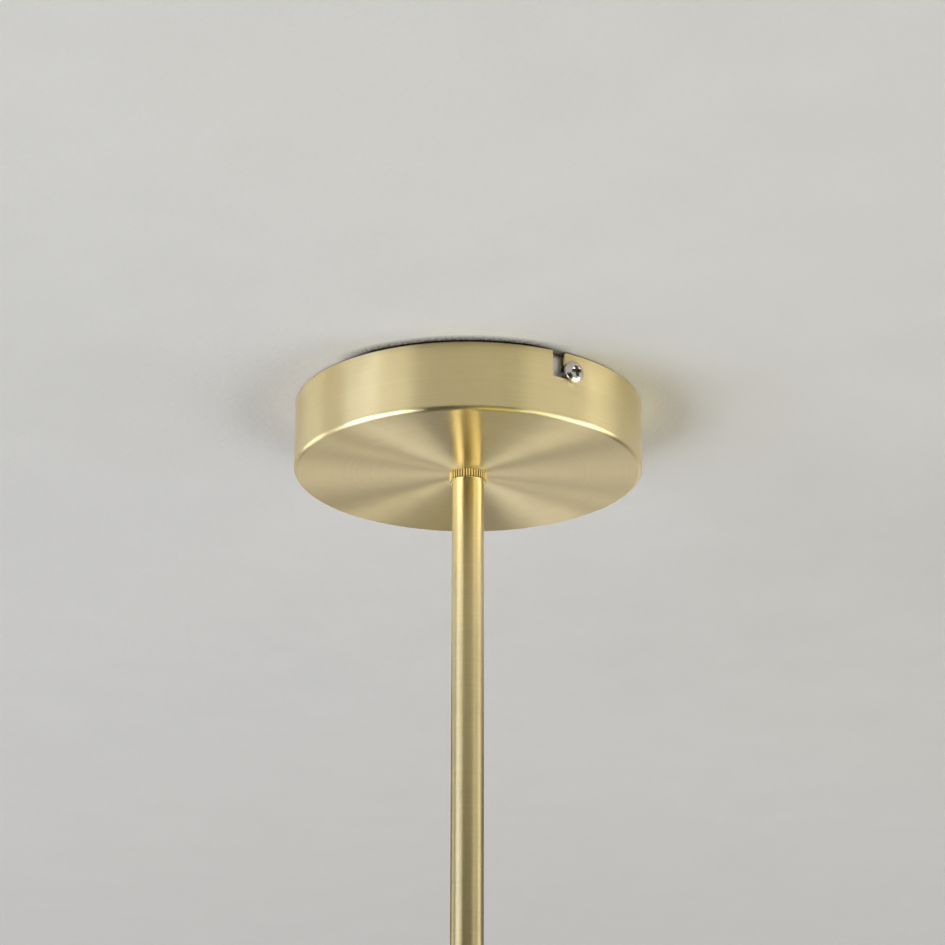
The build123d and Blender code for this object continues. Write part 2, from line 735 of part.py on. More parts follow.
# The four arms and lights
for number, angle in enumerate(arm_angles, start=1):
    with BuildPart() as arm_tube:
        with BuildLine(upright_plane(angle)) as arm_route:
            FilletPolyline(
                (arm_start, arm_level),
                (arm_reach, arm_level),
                (arm_reach, arm_foot),
                radius=arm_bend_radius,
            )
        with BuildSketch(outward_plane(angle, arm_start, arm_level)):
            Circle(arm_diameter / 2)
            Circle(tube_bore / 2, mode=Mode.SUBTRACT)
        sweep(path=arm_route.line)
    save(arm_tube.part, f"arm_tube_{number}")

    with BuildPart() as lamp_cup:
        with BuildSketch(level_spot(angle, arm_reach, cup_bottom)):
            Circle(cup_radius)
        extrude(amount=cup_height)
        fillet(lamp_cup.edges().sort_by(Axis.Z)[-1], radius=cup_edge_radius)
        offset(amount=-cup_wall, openings=lamp_cup.faces().sort_by(Axis.Z)[0])
        with BuildSketch(level_spot(angle, arm_reach, cup_floor)):
            Circle(nipple_diameter / 2 + hole_gap)
        extrude(amount=cup_wall, mode=Mode.SUBTRACT)
    save(lamp_cup.part, f"lamp_cup_{number}")

    with BuildPart() as shade_collar:
        with BuildSketch(level_spot(angle, arm_reach, cup_floor)):
            Circle(collar_radius)
        extrude(amount=-collar_height)
        fillet(shade_collar.edges().sort_by(Axis.Z)[-1], radius=cup_edge_radius)
        with BuildSketch(level_spot(angle, arm_reach, cup_floor - collar_wall)):
            Circle(collar_radius - collar_wall)
        extrude(amount=-collar_height, mode=Mode.SUBTRACT)
        with BuildSketch(level_spot(angle, arm_reach, cup_floor)):
            Circle(nipple_diameter / 2 + hole_gap)
        extrude(amount=-collar_wall, mode=Mode.SUBTRACT)
    save(shade_collar.part, f"shade_collar_{number}")

    with BuildPart() as lamp_holder:
        with BuildSketch(level_spot(angle, arm_reach, cup_nut_level)):
            Circle(holder_diameter / 2)
        extrude(amount=-holder_height)
        holder_rims = lamp_holder.edges().filter_by(GeomType.CIRCLE).group_by(SortBy.RADIUS)[-1]
        chamfer(holder_rims, length=holder_chamfer)
        with BuildSketch(level_spot(angle, arm_reach, cup_nut_level)):
            Circle(nipple_diameter / 2 + thread_gap)
        extrude(amount=-holder_grip, mode=Mode.SUBTRACT)
        with BuildSketch(level_spot(angle, arm_reach, holder_bottom)):
            Rectangle(lamp_foot_length + 2 * head_gap, lamp_foot_width + 2 * head_gap)
        extrude(amount=lamp_foot_height + fit_gap, mode=Mode.SUBTRACT)
        with BuildSketch(level_spot(angle, arm_reach, holder_bottom)):
            with GridLocations(lamp_pin_spacing, 1, 2, 1):
                Circle(lamp_pin_diameter / 2 + hole_gap)
        extrude(amount=lamp_foot_height + lamp_pin_length + head_gap, mode=Mode.SUBTRACT)
    save(lamp_holder.part, f"lamp_holder_{number}")

    with BuildPart() as lamp:
        with BuildSketch(level_spot(angle, arm_reach, holder_bottom)):
            Circle(lamp_diameter / 2)
        extrude(amount=-lamp_body_length)
        fillet(lamp.edges().sort_by(Axis.Z)[0], radius=(lamp_diameter - lamp_tip_flat) / 2)
        with BuildSketch(level_spot(angle, arm_reach, holder_bottom)):
            Rectangle(lamp_foot_length, lamp_foot_width)
        extrude(amount=lamp_foot_height)
        with BuildSketch(level_spot(angle, arm_reach, holder_bottom + lamp_foot_height)):
            with GridLocations(lamp_pin_spacing, 1, 2, 1):
                Circle(lamp_pin_diameter / 2)
        extrude(amount=lamp_pin_length)
    save(lamp.part, f"lamp_{number}")

    with BuildPart() as glass_globe:
        with BuildSketch(upright_plane(angle, arm_reach, globe_centre)):
            with BuildLine():
                outside = ThreePointArc((0, -globe_radius), (globe_radius, 0), (neck_radius, neck_base))
                neck = Polyline(
                    outside @ 1,
                    (neck_radius, neck_top - neck_lip_height),
                    (neck_radius + neck_lip_depth, neck_top - neck_lip_height),
                    (neck_radius + neck_lip_depth, neck_top),
                    (neck_bore, neck_top),
                    (neck_bore, bore_base),
                )
                inside = ThreePointArc(neck @ 1, (globe_inside, 0), (0, -globe_inside))
                Line(inside @ 1, outside @ 0)
            make_face()
        revolve(axis=plumb_line(angle, arm_reach))
    save(glass_globe.part, f"glass_globe_{number}")
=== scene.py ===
import json
import math

import bmesh
import bpy
from mathutils import Matrix, Vector
from mathutils.geometry import delaunay_2d_cdt


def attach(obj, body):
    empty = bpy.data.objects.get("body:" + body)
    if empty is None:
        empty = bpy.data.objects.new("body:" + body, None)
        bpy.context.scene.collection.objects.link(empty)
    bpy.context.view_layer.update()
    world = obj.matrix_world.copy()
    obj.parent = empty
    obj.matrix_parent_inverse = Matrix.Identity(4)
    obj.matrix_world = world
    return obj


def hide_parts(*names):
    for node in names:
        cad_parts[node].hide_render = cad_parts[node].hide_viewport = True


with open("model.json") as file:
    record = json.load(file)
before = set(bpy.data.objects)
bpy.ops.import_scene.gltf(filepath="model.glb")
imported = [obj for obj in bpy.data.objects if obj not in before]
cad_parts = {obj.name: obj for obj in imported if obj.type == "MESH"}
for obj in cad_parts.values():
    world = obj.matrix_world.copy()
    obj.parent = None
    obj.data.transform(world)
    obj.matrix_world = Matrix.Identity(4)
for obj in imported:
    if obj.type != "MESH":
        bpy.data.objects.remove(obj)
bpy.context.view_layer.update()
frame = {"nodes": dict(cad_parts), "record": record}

nodes = frame["nodes"]
scene = bpy.context.scene
scene.view_settings.view_transform = "Standard"
mm = 0.001
print("frame loaded:", len(nodes), "nodes")


# camera, fitted to the photograph's two ellipses and to the stem's edges
view = {
    "place": (0.00196, -0.9689, -0.3919),
    "turn": -0.026,      # degrees, to the right
    "lift": 20.804,      # degrees, upwards
    "tilt": 0.11,        # degrees, about the line of sight
    "lens": 114.53,
}


def linked(name, data):
    made = bpy.data.objects.new(name, data)
    scene.collection.objects.link(made)
    return made


def makeCamera():
    turn, lift, tilt = (math.radians(view[key]) for key in ("turn", "lift", "tilt"))
    ahead = Vector((math.sin(turn) * math.cos(lift), math.cos(turn) * math.cos(lift), math.sin(lift)))
    side = Vector((math.cos(turn), -math.sin(turn), 0))
    over = side.cross(ahead)
    right = side * math.cos(tilt) + over * math.sin(tilt)
    up = over * math.cos(tilt) - side * math.sin(tilt)
    camera = linked("photoCamera", bpy.data.cameras.new("photoCamera"))
    camera.data.lens = view["lens"]
    camera.data.clip_start, camera.data.clip_end = 0.01, 100
    axes = Matrix((right, up, -ahead)).transposed().to_4x4()
    camera.matrix_world = Matrix.Translation(view["place"]) @ axes
    scene.camera = camera


makeCamera()
print("camera ready")


# a node of a shader or geometry tree, its inputs given as values, sockets or other nodes
def addNode(tree, kind, inputs=None, **settings):
    prefixes = ("ShaderNode",) if tree.type == "SHADER" else ("GeometryNode", "ShaderNode", "FunctionNode")
    names = [prefix + kind for prefix in prefixes]
    made = tree.nodes.new(next(name for name in names if hasattr(bpy.types, name)))
    for key, value in settings.items():
        setattr(made, key, value)
    for key, value in (inputs or {}).items():
        socket = made.inputs[key]
        if isinstance(value, bpy.types.Node):
            value = value.outputs[0]
        if isinstance(value, bpy.types.NodeSocket):
            tree.links.new(value, socket)
        else:
            socket.default_value = value
    return made


def reckon(tree, operation, first, second=0.0, third=0.0):
    return addNode(tree, "Math", {0: first, 1: second, 2: third}, operation=operation).outputs[0]


def spread(tree, value, low, high, newLow=0.0, newHigh=1.0):
    inputs = {"Value": value, "From Min": low, "From Max": high, "To Min": newLow, "To Max": newHigh}
    return addNode(tree, "MapRange", inputs).outputs[0]


def noise(tree, place, scale, detail, **more):
    return addNode(tree, "TexNoise", {"Vector": place, "Scale": scale, "Detail": detail, **more}).outputs[0]


def blendColours(tree, factor, first, second):
    inputs = {0: factor, 6: first, 7: second}
    for key in (6, 7):
        if isinstance(inputs[key], tuple) and len(inputs[key]) == 3:
            inputs[key] = (*inputs[key], 1)
    return addNode(tree, "Mix", inputs, data_type="RGBA").outputs[2]


def grown(colour, share):
    return tuple(min(1.0, channel * share) for channel in colour[:3])


# effects that several finishes share, each a group built once
def newGroup(name, inputs, outputs, kind="ShaderNodeTree"):
    group = bpy.data.node_groups.new(name, kind)
    for label, socketKind, value in inputs:
        socket = group.interface.new_socket(label, in_out="INPUT", socket_type="NodeSocket" + socketKind)
        if value is not None:
            socket.default_value = value
    for label, socketKind in outputs:
        group.interface.new_socket(label, in_out="OUTPUT", socket_type="NodeSocket" + socketKind)
    return group, group.nodes.new("NodeGroupInput").outputs, group.nodes.new("NodeGroupOutput").inputs


def makeTurnedLines():
    # fine lines that run round a turned piece, and slow clouds in the finish
    group, given, result = newGroup(
        "turnedLines",
        [("Turned Place", "Vector", None), ("Place", "Vector", None), ("Line Scale", "Float", 1200.0),
         ("Cloud Scale", "Float", 90.0)],
        [("Lines", "Float"), ("Clouds", "Float")],
    )
    way = addNode(group, "SeparateXYZ", {0: given["Turned Place"]}).outputs["Z"]
    inputs = {"W": way, "Scale": given["Line Scale"], "Detail": 3.0, "Roughness": 0.7}
    rings = addNode(group, "TexNoise", inputs, noise_dimensions="1D")
    broken = noise(group, given["Turned Place"], given["Line Scale"], 3.0)
    fine = reckon(group, "MULTIPLY_ADD", rings.outputs[0], 0.6, reckon(group, "MULTIPLY", broken, 0.4))
    group.links.new(fine, result["Lines"])
    group.links.new(noise(group, given["Place"], given["Cloud Scale"], 2.0), result["Clouds"])
    return group


def makeEdgeWear():
    # rubbed edges: the mesh's own edge mask, broken up by noise
    group, given, result = newGroup(
        "edgeWear",
        [("Edge", "Float", 0.0), ("Place", "Vector", None), ("Breakup", "Float", 500.0),
         ("Amount", "Float", 0.6)],
        [("Wear", "Float")],
    )
    broken = spread(group, noise(group, given["Place"], given["Breakup"], 3.0), 0.34, 0.62)
    worn = reckon(group, "MULTIPLY", reckon(group, "MULTIPLY", given["Edge"], broken), given["Amount"])
    group.links.new(worn, result["Wear"])
    return group


def makeGrain():
    # even fine grain with a few larger specks, for moulded, cast, glazed and blasted surfaces
    group, given, result = newGroup(
        "fineGrain",
        [("Place", "Vector", None), ("Grain Scale", "Float", 900.0), ("Speck Scale", "Float", 250.0)],
        [("Grain", "Float"), ("Specks", "Float"), ("Height", "Float")],
    )
    fine = noise(group, given["Place"], given["Grain Scale"], 4.0, Roughness=0.6)
    cells = addNode(group, "TexVoronoi", {"Vector": given["Place"], "Scale": given["Speck Scale"]})
    specks = spread(group, cells.outputs["Distance"], 0.16, 0.05)
    height = reckon(group, "MULTIPLY_ADD", specks, -0.5, fine)
    group.links.new(fine, result["Grain"])
    group.links.new(specks, result["Specks"])
    group.links.new(height, result["Height"])
    return group


turnedLines, edgeWear, fineGrain = makeTurnedLines(), makeEdgeWear(), makeGrain()


def raised(tree, height, distance, **more):
    return addNode(tree, "Bump", {"Height": height, "Distance": distance, "Strength": 1.0, **more})


def fillGroup(tree, group, inputs):
    made = tree.nodes.new("ShaderNodeGroup")
    made.node_tree = group
    for key, value in inputs.items():
        if isinstance(value, bpy.types.NodeSocket):
            tree.links.new(value, made.inputs[key])
        else:
            made.inputs[key].default_value = value
    return made.outputs


def newMaterial(name):
    material = bpy.data.materials.new(name)
    material.use_nodes = True
    tree = material.node_tree
    tree.nodes.clear()
    return material, tree


def closeMaterial(tree, shader):
    output = tree.nodes.new("ShaderNodeOutputMaterial")
    tree.links.new(shader.outputs[0], output.inputs["Surface"])


def ownPlace(tree, attribute=None):
    if attribute:
        return addNode(tree, "Attribute", attribute_name=attribute).outputs["Vector"]
    return addNode(tree, "TexCoord").outputs["Object"]


# finishes
satin = {
    "colour": (0.93, 0.78, 0.43), "bare": (0.97, 0.86, 0.58), "rough": 0.31, "roughSpread": 0.04,
    "toneSpread": 0.07, "lineScale": 900.0, "cloudScale": 110.0, "lineHeight": 0.0000015,
    "wear": 0.35, "along": "turned", "anisotropy": 1.0,
}
stemSatin = {**satin, "rough": 0.33, "lineHeight": 0.000001, "grainHeight": 0.0000025, "anisotropy": 0.97}
polished = {**satin, "colour": (0.93, 0.78, 0.42), "rough": 0.12, "roughSpread": 0.03, "lineHeight": 0.000006,
            "anisotropy": 0.0, "along": None, "wear": 0.5}
# painted shade in the knurl's grooves, with darkened lacquer there: a dark brass
grooveShadeAndLacquer = {**polished, "colour": (0.36, 0.27, 0.12), "bare": (0.60, 0.46, 0.22), "rough": 0.36, "wear": 0.2}
bareBrass = {**polished, "colour": (0.83, 0.64, 0.32), "rough": 0.33, "wear": 0.3}
zinc = {**polished, "colour": (0.80, 0.82, 0.85), "bare": (0.62, 0.62, 0.62), "rough": 0.38,
        "roughSpread": 0.08, "lineScale": 700.0, "cloudScale": 160.0, "lineHeight": 0.000010}
nickel = {**polished, "colour": (0.74, 0.70, 0.66), "bare": (0.86, 0.83, 0.80), "rough": 0.24,
          "roughSpread": 0.06, "lineScale": 1100.0, "toneSpread": 0.05, "lineHeight": 0.000005, "wear": 0.4}
# painted shade: a dark nickel for the walls and floor of the screws' cross recess
recess = {**nickel, "colour": (0.17, 0.155, 0.14), "bare": (0.45, 0.42, 0.39), "rough": 0.30}
plated = {**zinc, "colour": (0.90, 0.90, 0.92), "rough": 0.50}
tinned = {**zinc, "colour": (0.78, 0.78, 0.77), "rough": 0.34, "lineScale": 1300.0}


def metalFinish(name, look):
    material, tree = newMaterial(name)
    lines = fillGroup(tree, turnedLines, {
        "Turned Place": ownPlace(tree, look["along"]), "Place": ownPlace(tree),
        "Line Scale": look["lineScale"], "Cloud Scale": look["cloudScale"]})
    edge = addNode(tree, "Attribute", attribute_name="edge").outputs["Fac"]
    worn = fillGroup(tree, edgeWear, {"Edge": edge, "Place": ownPlace(tree), "Amount": look["wear"]})[0]
    tone = reckon(tree, "MULTIPLY_ADD", lines["Clouds"], 0.35, reckon(tree, "MULTIPLY", lines["Lines"], 0.65))
    share = look["toneSpread"]
    tints = grown(look["colour"], 1 - share), grown(look["colour"], 1 + share)
    colour = blendColours(tree, spread(tree, tone, 0.25, 0.75), *tints)
    colour = blendColours(tree, worn, colour, look["bare"])
    low, high = look["rough"] - look["roughSpread"], look["rough"] + look["roughSpread"]
    rough = spread(tree, tone, 0.2, 0.8, low, high)
    rough = reckon(tree, "MULTIPLY_ADD", worn, -0.3 * look["rough"], rough)
    bump = raised(tree, lines["Lines"], look["lineHeight"])
    if "grainHeight" in look:
        blast = {"Place": ownPlace(tree), "Grain Scale": 1700.0, "Speck Scale": 600.0}
        grain = fillGroup(tree, fineGrain, blast)
        bump = raised(tree, grain["Height"], look["grainHeight"], Normal=bump)
    inputs = {"Base Color": colour, "Roughness": rough, "Normal": bump, "Metallic": 1.0,
              "Anisotropic": look["anisotropy"]}
    if look["anisotropy"]:
        inputs["Anisotropic Rotation"] = 0.25
        inputs["Tangent"] = addNode(tree, "Tangent", direction_type="UV_MAP", uv_map="around")
    closeMaterial(tree, addNode(tree, "BsdfPrincipled", inputs))
    return material


whitePlastic = {"colour": (0.80, 0.80, 0.77), "rough": 0.42, "grain": 1200.0, "height": 0.000012, "coat": 0.0,
                "subsurface": 0.0, "transmission": 0.0}
insulation = {**whitePlastic, "rough": 0.36, "grain": 700.0, "height": 0.000010}
brown, blue = (0.10, 0.035, 0.015), (0.015, 0.06, 0.36)
green, yellow = (0.02, 0.25, 0.05), (0.72, 0.62, 0.03)
paleSheath = {**insulation, "colour": (0.66, 0.65, 0.60), "coat": 0.3}
ceramic = {**whitePlastic, "colour": (0.83, 0.81, 0.75), "rough": 0.16, "grain": 260.0, "height": 0.000020,
           "coat": 0.6}
frosted = {**whitePlastic, "colour": (0.88, 0.88, 0.85), "rough": 0.55, "grain": 1500.0, "height": 0.000006,
           "subsurface": 0.3}
opal = {**whitePlastic, "colour": (0.90, 0.90, 0.87), "rough": 0.13, "grain": 45.0, "height": 0.00022,
        "coat": 0.4, "subsurface": 0.35, "transmission": 0.10}


# plastic, insulation, ceramic and opal glass
def mouldedFinish(name, look, stripe=None):
    material, tree = newMaterial(name)
    place = ownPlace(tree)
    scale = look["grain"]
    grain = fillGroup(tree, fineGrain, {"Place": place, "Grain Scale": scale, "Speck Scale": scale * 0.35})
    tone = spread(tree, noise(tree, place, scale * 0.12, 2.0), 0.35, 0.65)
    colour = blendColours(tree, tone, grown(look["colour"], 0.95), grown(look["colour"], 1.03))
    if stripe:
        turned = addNode(tree, "Mapping", {"Vector": place, "Rotation": (0, 0, stripe["turn"])})
        across = addNode(tree, "SeparateXYZ", {0: turned}).outputs["Y"]
        isStripe = spread(tree, reckon(tree, "ABSOLUTE", across), stripe["edge"] * 0.9, stripe["edge"] * 1.1)
        colour = blendColours(tree, isStripe, colour, stripe["colour"])
    edge = addNode(tree, "Attribute", attribute_name="edge").outputs["Fac"]
    worn = fillGroup(tree, edgeWear, {"Edge": edge, "Place": place, "Amount": 0.35})[0]
    colour = blendColours(tree, worn, colour, grown(look["colour"], 1.12))
    rough = spread(tree, grain["Grain"], 0.3, 0.7, look["rough"] * 0.82, look["rough"] * 1.2)
    bump = raised(tree, grain["Height"], look["height"])
    inputs = {"Base Color": colour, "Roughness": rough, "Normal": bump, "Coat Weight": look["coat"],
              "Coat Roughness": 0.06, "Subsurface Weight": look["subsurface"],
              "Subsurface Radius": (1.0, 1.0, 0.9), "Subsurface Scale": 0.004,
              "Transmission Weight": look["transmission"]}
    closeMaterial(tree, addNode(tree, "BsdfPrincipled", inputs))
    return material


bracketTurn = math.radians(-54.7)       # the bracket and both lock screws stand across the cup at this angle
earthStripe = {"turn": -bracketTurn, "edge": 0.00036, "colour": yellow}
finishes = {
    "satin_brass": metalFinish("satinBrass", satin),
    "polished_brass": metalFinish("polishedBrass", polished),
    "bare_brass": metalFinish("bareBrass", bareBrass),
    "zinc_steel": metalFinish("zincPlate", zinc),
    "nickel_screw": metalFinish("nickelPlate", nickel),
    "tinned_metal": metalFinish("tinnedCopper", tinned),
    "white_plastic": mouldedFinish("whitePlastic", whitePlastic),
    "brown_insulation": mouldedFinish("brownInsulation", {**insulation, "colour": brown}),
    "blue_insulation": mouldedFinish("blueInsulation", {**insulation, "colour": blue}),
    "green_yellow_insulation": mouldedFinish("earthInsulation", {**insulation, "colour": green}, earthStripe),
    "clear_sheath": mouldedFinish("paleSheath", paleSheath),
    "ceramic": mouldedFinish("glazedCeramic", ceramic),
    "frosted_lamp": mouldedFinish("frostedGlass", frosted),
    "opal_glass": mouldedFinish("opalGlass", opal),
}
stemFinish, grooveShadeAndLacquerFinish = metalFinish("stemBrass", stemSatin), metalFinish("grooveShadeAndLacquerBrass", grooveShadeAndLacquer)
recessShadeFinish, platedFinish = metalFinish("recessShadeNickel", recess), metalFinish("zincStrip", plated)
slotOf = {part["node"]: part["material_slot"] for part in frame["record"]["subparts"]}
bodyOf = {node: body for body, members in frame["record"]["behaviour"]["bodies"].items() for node in members}
for name, piece in nodes.items():
    piece.data.materials.clear()
    piece.data.materials.append(finishes[slotOf[name]])
print("finishes ready:", len(bpy.data.materials))


# outline with rounded corners (x, y, radius) in mm: points with the normals on the outline's right hand
def roundedPath(corners, closed=True, longest=6.0, arcStep=14.0):
    count, rows = len(corners), []
    for index, (x, y, radius) in enumerate(corners):
        here = Vector((x, y))
        before, after = Vector(corners[index - 1][:2]), Vector(corners[(index + 1) % count][:2])
        if not closed and index in (0, count - 1):
            run = (after - here if index == 0 else here - before).normalized()
            rows.append((x, y, run.y, -run.x))
            continue
        first, second = (here - before).normalized(), (after - here).normalized()
        turn = math.atan2(first.x * second.y - first.y * second.x, first.dot(second))
        hand = 1 if turn > 0 else -1
        start = here - first * radius * math.tan(abs(turn) / 2)
        outward = Vector((first.y, -first.x))
        centre = start - outward * radius * hand
        steps = max(2, math.ceil(math.degrees(abs(turn)) / arcStep))
        for step in range(steps + 1):
            angle = turn * step / steps
            normal = Vector((outward.x * math.cos(angle) - outward.y * math.sin(angle),
                             outward.x * math.sin(angle) + outward.y * math.cos(angle)))
            point = centre + normal * radius * hand
            rows.append((point.x, point.y, normal.x, normal.y))
    filled = []
    for index, row in enumerate(rows):
        filled.append(row)
        if not closed and index == len(rows) - 1:
            break
        other = rows[(index + 1) % len(rows)]
        pieces = math.ceil(math.dist(row[:2], other[:2]) / longest)
        for part in range(1, pieces):
            filled.append(tuple(a + (b - a) * part / pieces for a, b in zip(row, other)))
    return filled


# a finished mesh takes its node's place, slot and body
def putPiece(name, mesh, node, finish=None):
    mesh.name = name
    mesh.materials.clear()
    mesh.materials.append(finish or finishes[slotOf[node]])
    piece = linked(name, mesh)
    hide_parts(node)
    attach(piece, bodyOf[node])


# edge mask: how far the faces round a point turn away from each other, in degrees
def markEdges(mesh, low=14.0, high=34.0):
    work = bmesh.new()
    work.from_mesh(mesh)
    values = [0.0] * len(work.verts)
    for edge in work.edges:
        if len(edge.link_faces) == 2 and all(face.calc_area() > 1e-14 for face in edge.link_faces):
            angle = math.degrees(edge.link_faces[0].normal.angle(edge.link_faces[1].normal, 0.0))
            share = min(1.0, max(0.0, (angle - low) / (high - low)))
            for vert in edge.verts:
                values[vert.index] = max(values[vert.index], share)
    work.free()
    attribute = mesh.attributes.get("edge") or mesh.attributes.new("edge", "FLOAT", "POINT")
    attribute.data.foreach_set("value", values)


# share of a turn and way along the outline, per corner: UV "around" for the grain's direction,
# vector "turned" for its lines
def layRound(mesh, spots):
    mesh.uv_layers.new(name="around")
    mesh.attributes.new("turned", "FLOAT_VECTOR", "CORNER")
    flat, bent = [], []
    for share, path in spots:
        angle = 2 * math.pi * share
        flat += (share, path * 10)
        bent += (0.001 * math.cos(angle), 0.001 * math.sin(angle), path)
    mesh.uv_layers["around"].data.foreach_set("uv", flat)
    mesh.attributes["turned"].data.foreach_set("vector", bent)


# mesh of quads and triangles whose corners carry point, normal, round-and-along place
def cornerMesh(name, points, faces, corners):
    mesh = bpy.data.meshes.new(name)
    mesh.from_pydata(points, [], faces)
    layRound(mesh, [(share, path) for _, share, path in corners])
    for polygon in mesh.polygons:
        polygon.use_smooth = True
    mesh.normals_split_custom_set([normal for normal, _, _ in corners])
    markEdges(mesh)
    return mesh


# a turned piece: the outline goes anticlockwise in (radius, height), from axis to axis where it is open
def turnedMesh(name, corners, lay=Matrix(), closed=True, steps=96, longest=6.0, bend=None, given=False):
    rows = corners if given else roundedPath(corners, closed, longest)
    paths = [0.0]
    for row, other in zip(rows, rows[1:] + rows[:1]):
        paths.append(paths[-1] + math.dist(row[:2], other[:2]) * mm)
    spin = lay.to_3x3().normalized()
    points, starts = [], []

    def placed(row, share):
        angle = 2 * math.pi * share
        point = Vector((row[0] * math.cos(angle), row[0] * math.sin(angle), row[1])) * mm
        normal = Vector((row[2] * math.cos(angle), row[2] * math.sin(angle), row[3]))
        if bend:
            point, normal = bend(point, normal)
        return lay @ point, (spin @ normal).normalized()

    for row in rows:
        starts.append(len(points))
        sides = 1 if row[0] < 1e-4 else steps
        points.extend(placed(row, side / steps)[0] for side in range(sides))
    faces, corners = [], []
    for index in range(len(rows) if closed else len(rows) - 1):
        other = (index + 1) % len(rows)
        single, otherSingle = rows[index][0] < 1e-4, rows[other][0] < 1e-4
        if single and otherSingle:
            continue
        for side in range(steps):
            after = (side + 1) % steps
            spots = [(index, side, side), (index, after, side + 1), (other, after, side + 1),
                     (other, side, side)]
            if single:
                spots.pop(1)
                spots[0] = (index, 0, side + 0.5)
            if otherSingle:
                spots.pop(2)
                spots[2] = (other, 0, side + 0.5)
            faces.append([starts[row] + (0 if rows[row][0] < 1e-4 else spot) for row, spot, _ in spots])
            for row, _, share in spots:
                path = paths[index + 1] if row == other else paths[index]
                corners.append((placed(rows[row], share / steps)[1], share / steps, path))
    return cornerMesh(name, points, faces, corners)


def at(x, y, z=0.0):
    return Matrix.Translation(Vector((x, y, z)) * mm)


# evaluated result of an object's modifiers as a plain mesh
def settled(piece):
    graph = bpy.context.evaluated_depsgraph_get()
    mesh = bpy.data.meshes.new_from_object(piece.evaluated_get(graph))
    bpy.data.objects.remove(piece)
    return mesh


# geometry-node trees for what repeats
def growMesh(mesh, tree, values):
    start = linked("grown", mesh)
    grower = start.modifiers.new("grow", "NODES")
    grower.node_group = tree
    for item in tree.interface.items_tree:
        if item.item_type == "SOCKET" and item.in_out == "INPUT" and item.name in values:
            grower[item.identifier] = values[item.name]
    return settled(start)


# joins what grew to what was there, makes it real and gives it its finish
def endTree(tree, geometry, given, result, joined=True):
    if joined:
        both = addNode(tree, "JoinGeometry", {0: given["Geometry"]})
        tree.links.new(geometry.outputs[0], both.inputs[0])
        geometry = both
    whole = addNode(tree, "RealizeInstances", {0: geometry})
    painted = addNode(tree, "SetMaterial", {"Geometry": whole, "Material": given["Finish"]})
    tree.links.new(painted.outputs[0], result["Geometry"])


def growTree(name, inputs):
    return newGroup(
        name,
        [("Geometry", "Geometry", None), *inputs, ("Finish", "Material", None)],
        [("Geometry", "Geometry")],
        "GeometryNodeTree",
    )


def liftedCircle(tree, count, radius, level):
    circle = addNode(tree, "CurvePrimitiveCircle", {"Resolution": count, "Radius": radius}, mode="RADIUS")
    lift = addNode(tree, "CombineXYZ", {2: level})
    return addNode(tree, "SetPosition", {"Geometry": circle, "Offset": lift})


def makeKnurlTree():
    # upright ribs with drawn-in ends, all round a ring
    tree, given, result = growTree(
        "straightKnurl",
        [("Ribs", "Int", 42), ("Ring Radius", "Float", 0.006), ("Rib Radius", "Float", 0.0003),
         ("Height", "Float", 0.003), ("Point", "Float", 0.0003)],
    )
    rib = addNode(tree, "MeshCylinder", {"Vertices": 10, "Side Segments": 5, "Radius": given["Rib Radius"],
                                         "Depth": given["Height"]})
    x, y, z = addNode(tree, "SeparateXYZ", {0: addNode(tree, "InputPosition")}).outputs
    level = reckon(tree, "ABSOLUTE", z)
    half = reckon(tree, "MULTIPLY", given["Height"], 0.5)
    body = reckon(tree, "SUBTRACT", half, given["Point"])
    isEnd = reckon(tree, "GREATER_THAN", level, reckon(tree, "SUBTRACT", half, 0.00001))
    thin = reckon(tree, "MULTIPLY_ADD", isEnd, -0.55, 1.0)
    near = reckon(tree, "MULTIPLY", reckon(tree, "GREATER_THAN", level, reckon(tree, "MULTIPLY", half, 0.5)),
                  reckon(tree, "SUBTRACT", 1.0, isEnd))
    shoulder = reckon(tree, "MULTIPLY", reckon(tree, "SIGN", z), body)
    pushed = reckon(tree, "MULTIPLY", near, reckon(tree, "SUBTRACT", shoulder, z))
    x, y, z = reckon(tree, "MULTIPLY", x, thin), reckon(tree, "MULTIPLY", y, thin), reckon(tree, "ADD", z, pushed)
    drawn = addNode(tree, "CombineXYZ", {0: x, 1: y, 2: z})
    shaped = addNode(tree, "SetPosition", {"Geometry": rib, "Position": drawn})
    lifted = liftedCircle(tree, given["Ribs"], given["Ring Radius"], half)
    ribs = addNode(tree, "InstanceOnPoints", {"Points": lifted, "Instance": shaped})
    endTree(tree, ribs, given, result)
    return tree


def makeThreadTree():
    # a helical ridge round a core
    tree, given, result = growTree(
        "screwThread",
        [("Radius", "Float", 0.004), ("Turns", "Float", 10.0), ("Length", "Float", 0.01),
         ("Ridge", "Float", 0.0003)],
    )
    middle = reckon(tree, "SUBTRACT", given["Radius"], given["Ridge"])
    helix = addNode(tree, "CurveSpiral", {
        "Resolution": 28, "Rotations": given["Turns"], "Start Radius": middle, "End Radius": middle,
        "Height": given["Length"]})
    flank = addNode(tree, "CurvePrimitiveCircle", {"Resolution": 4, "Radius": given["Ridge"]}, mode="RADIUS")
    ridge = addNode(tree, "CurveToMesh", {"Curve": helix, "Profile Curve": flank, "Fill Caps": True})
    endTree(tree, ridge, given, result)
    return tree


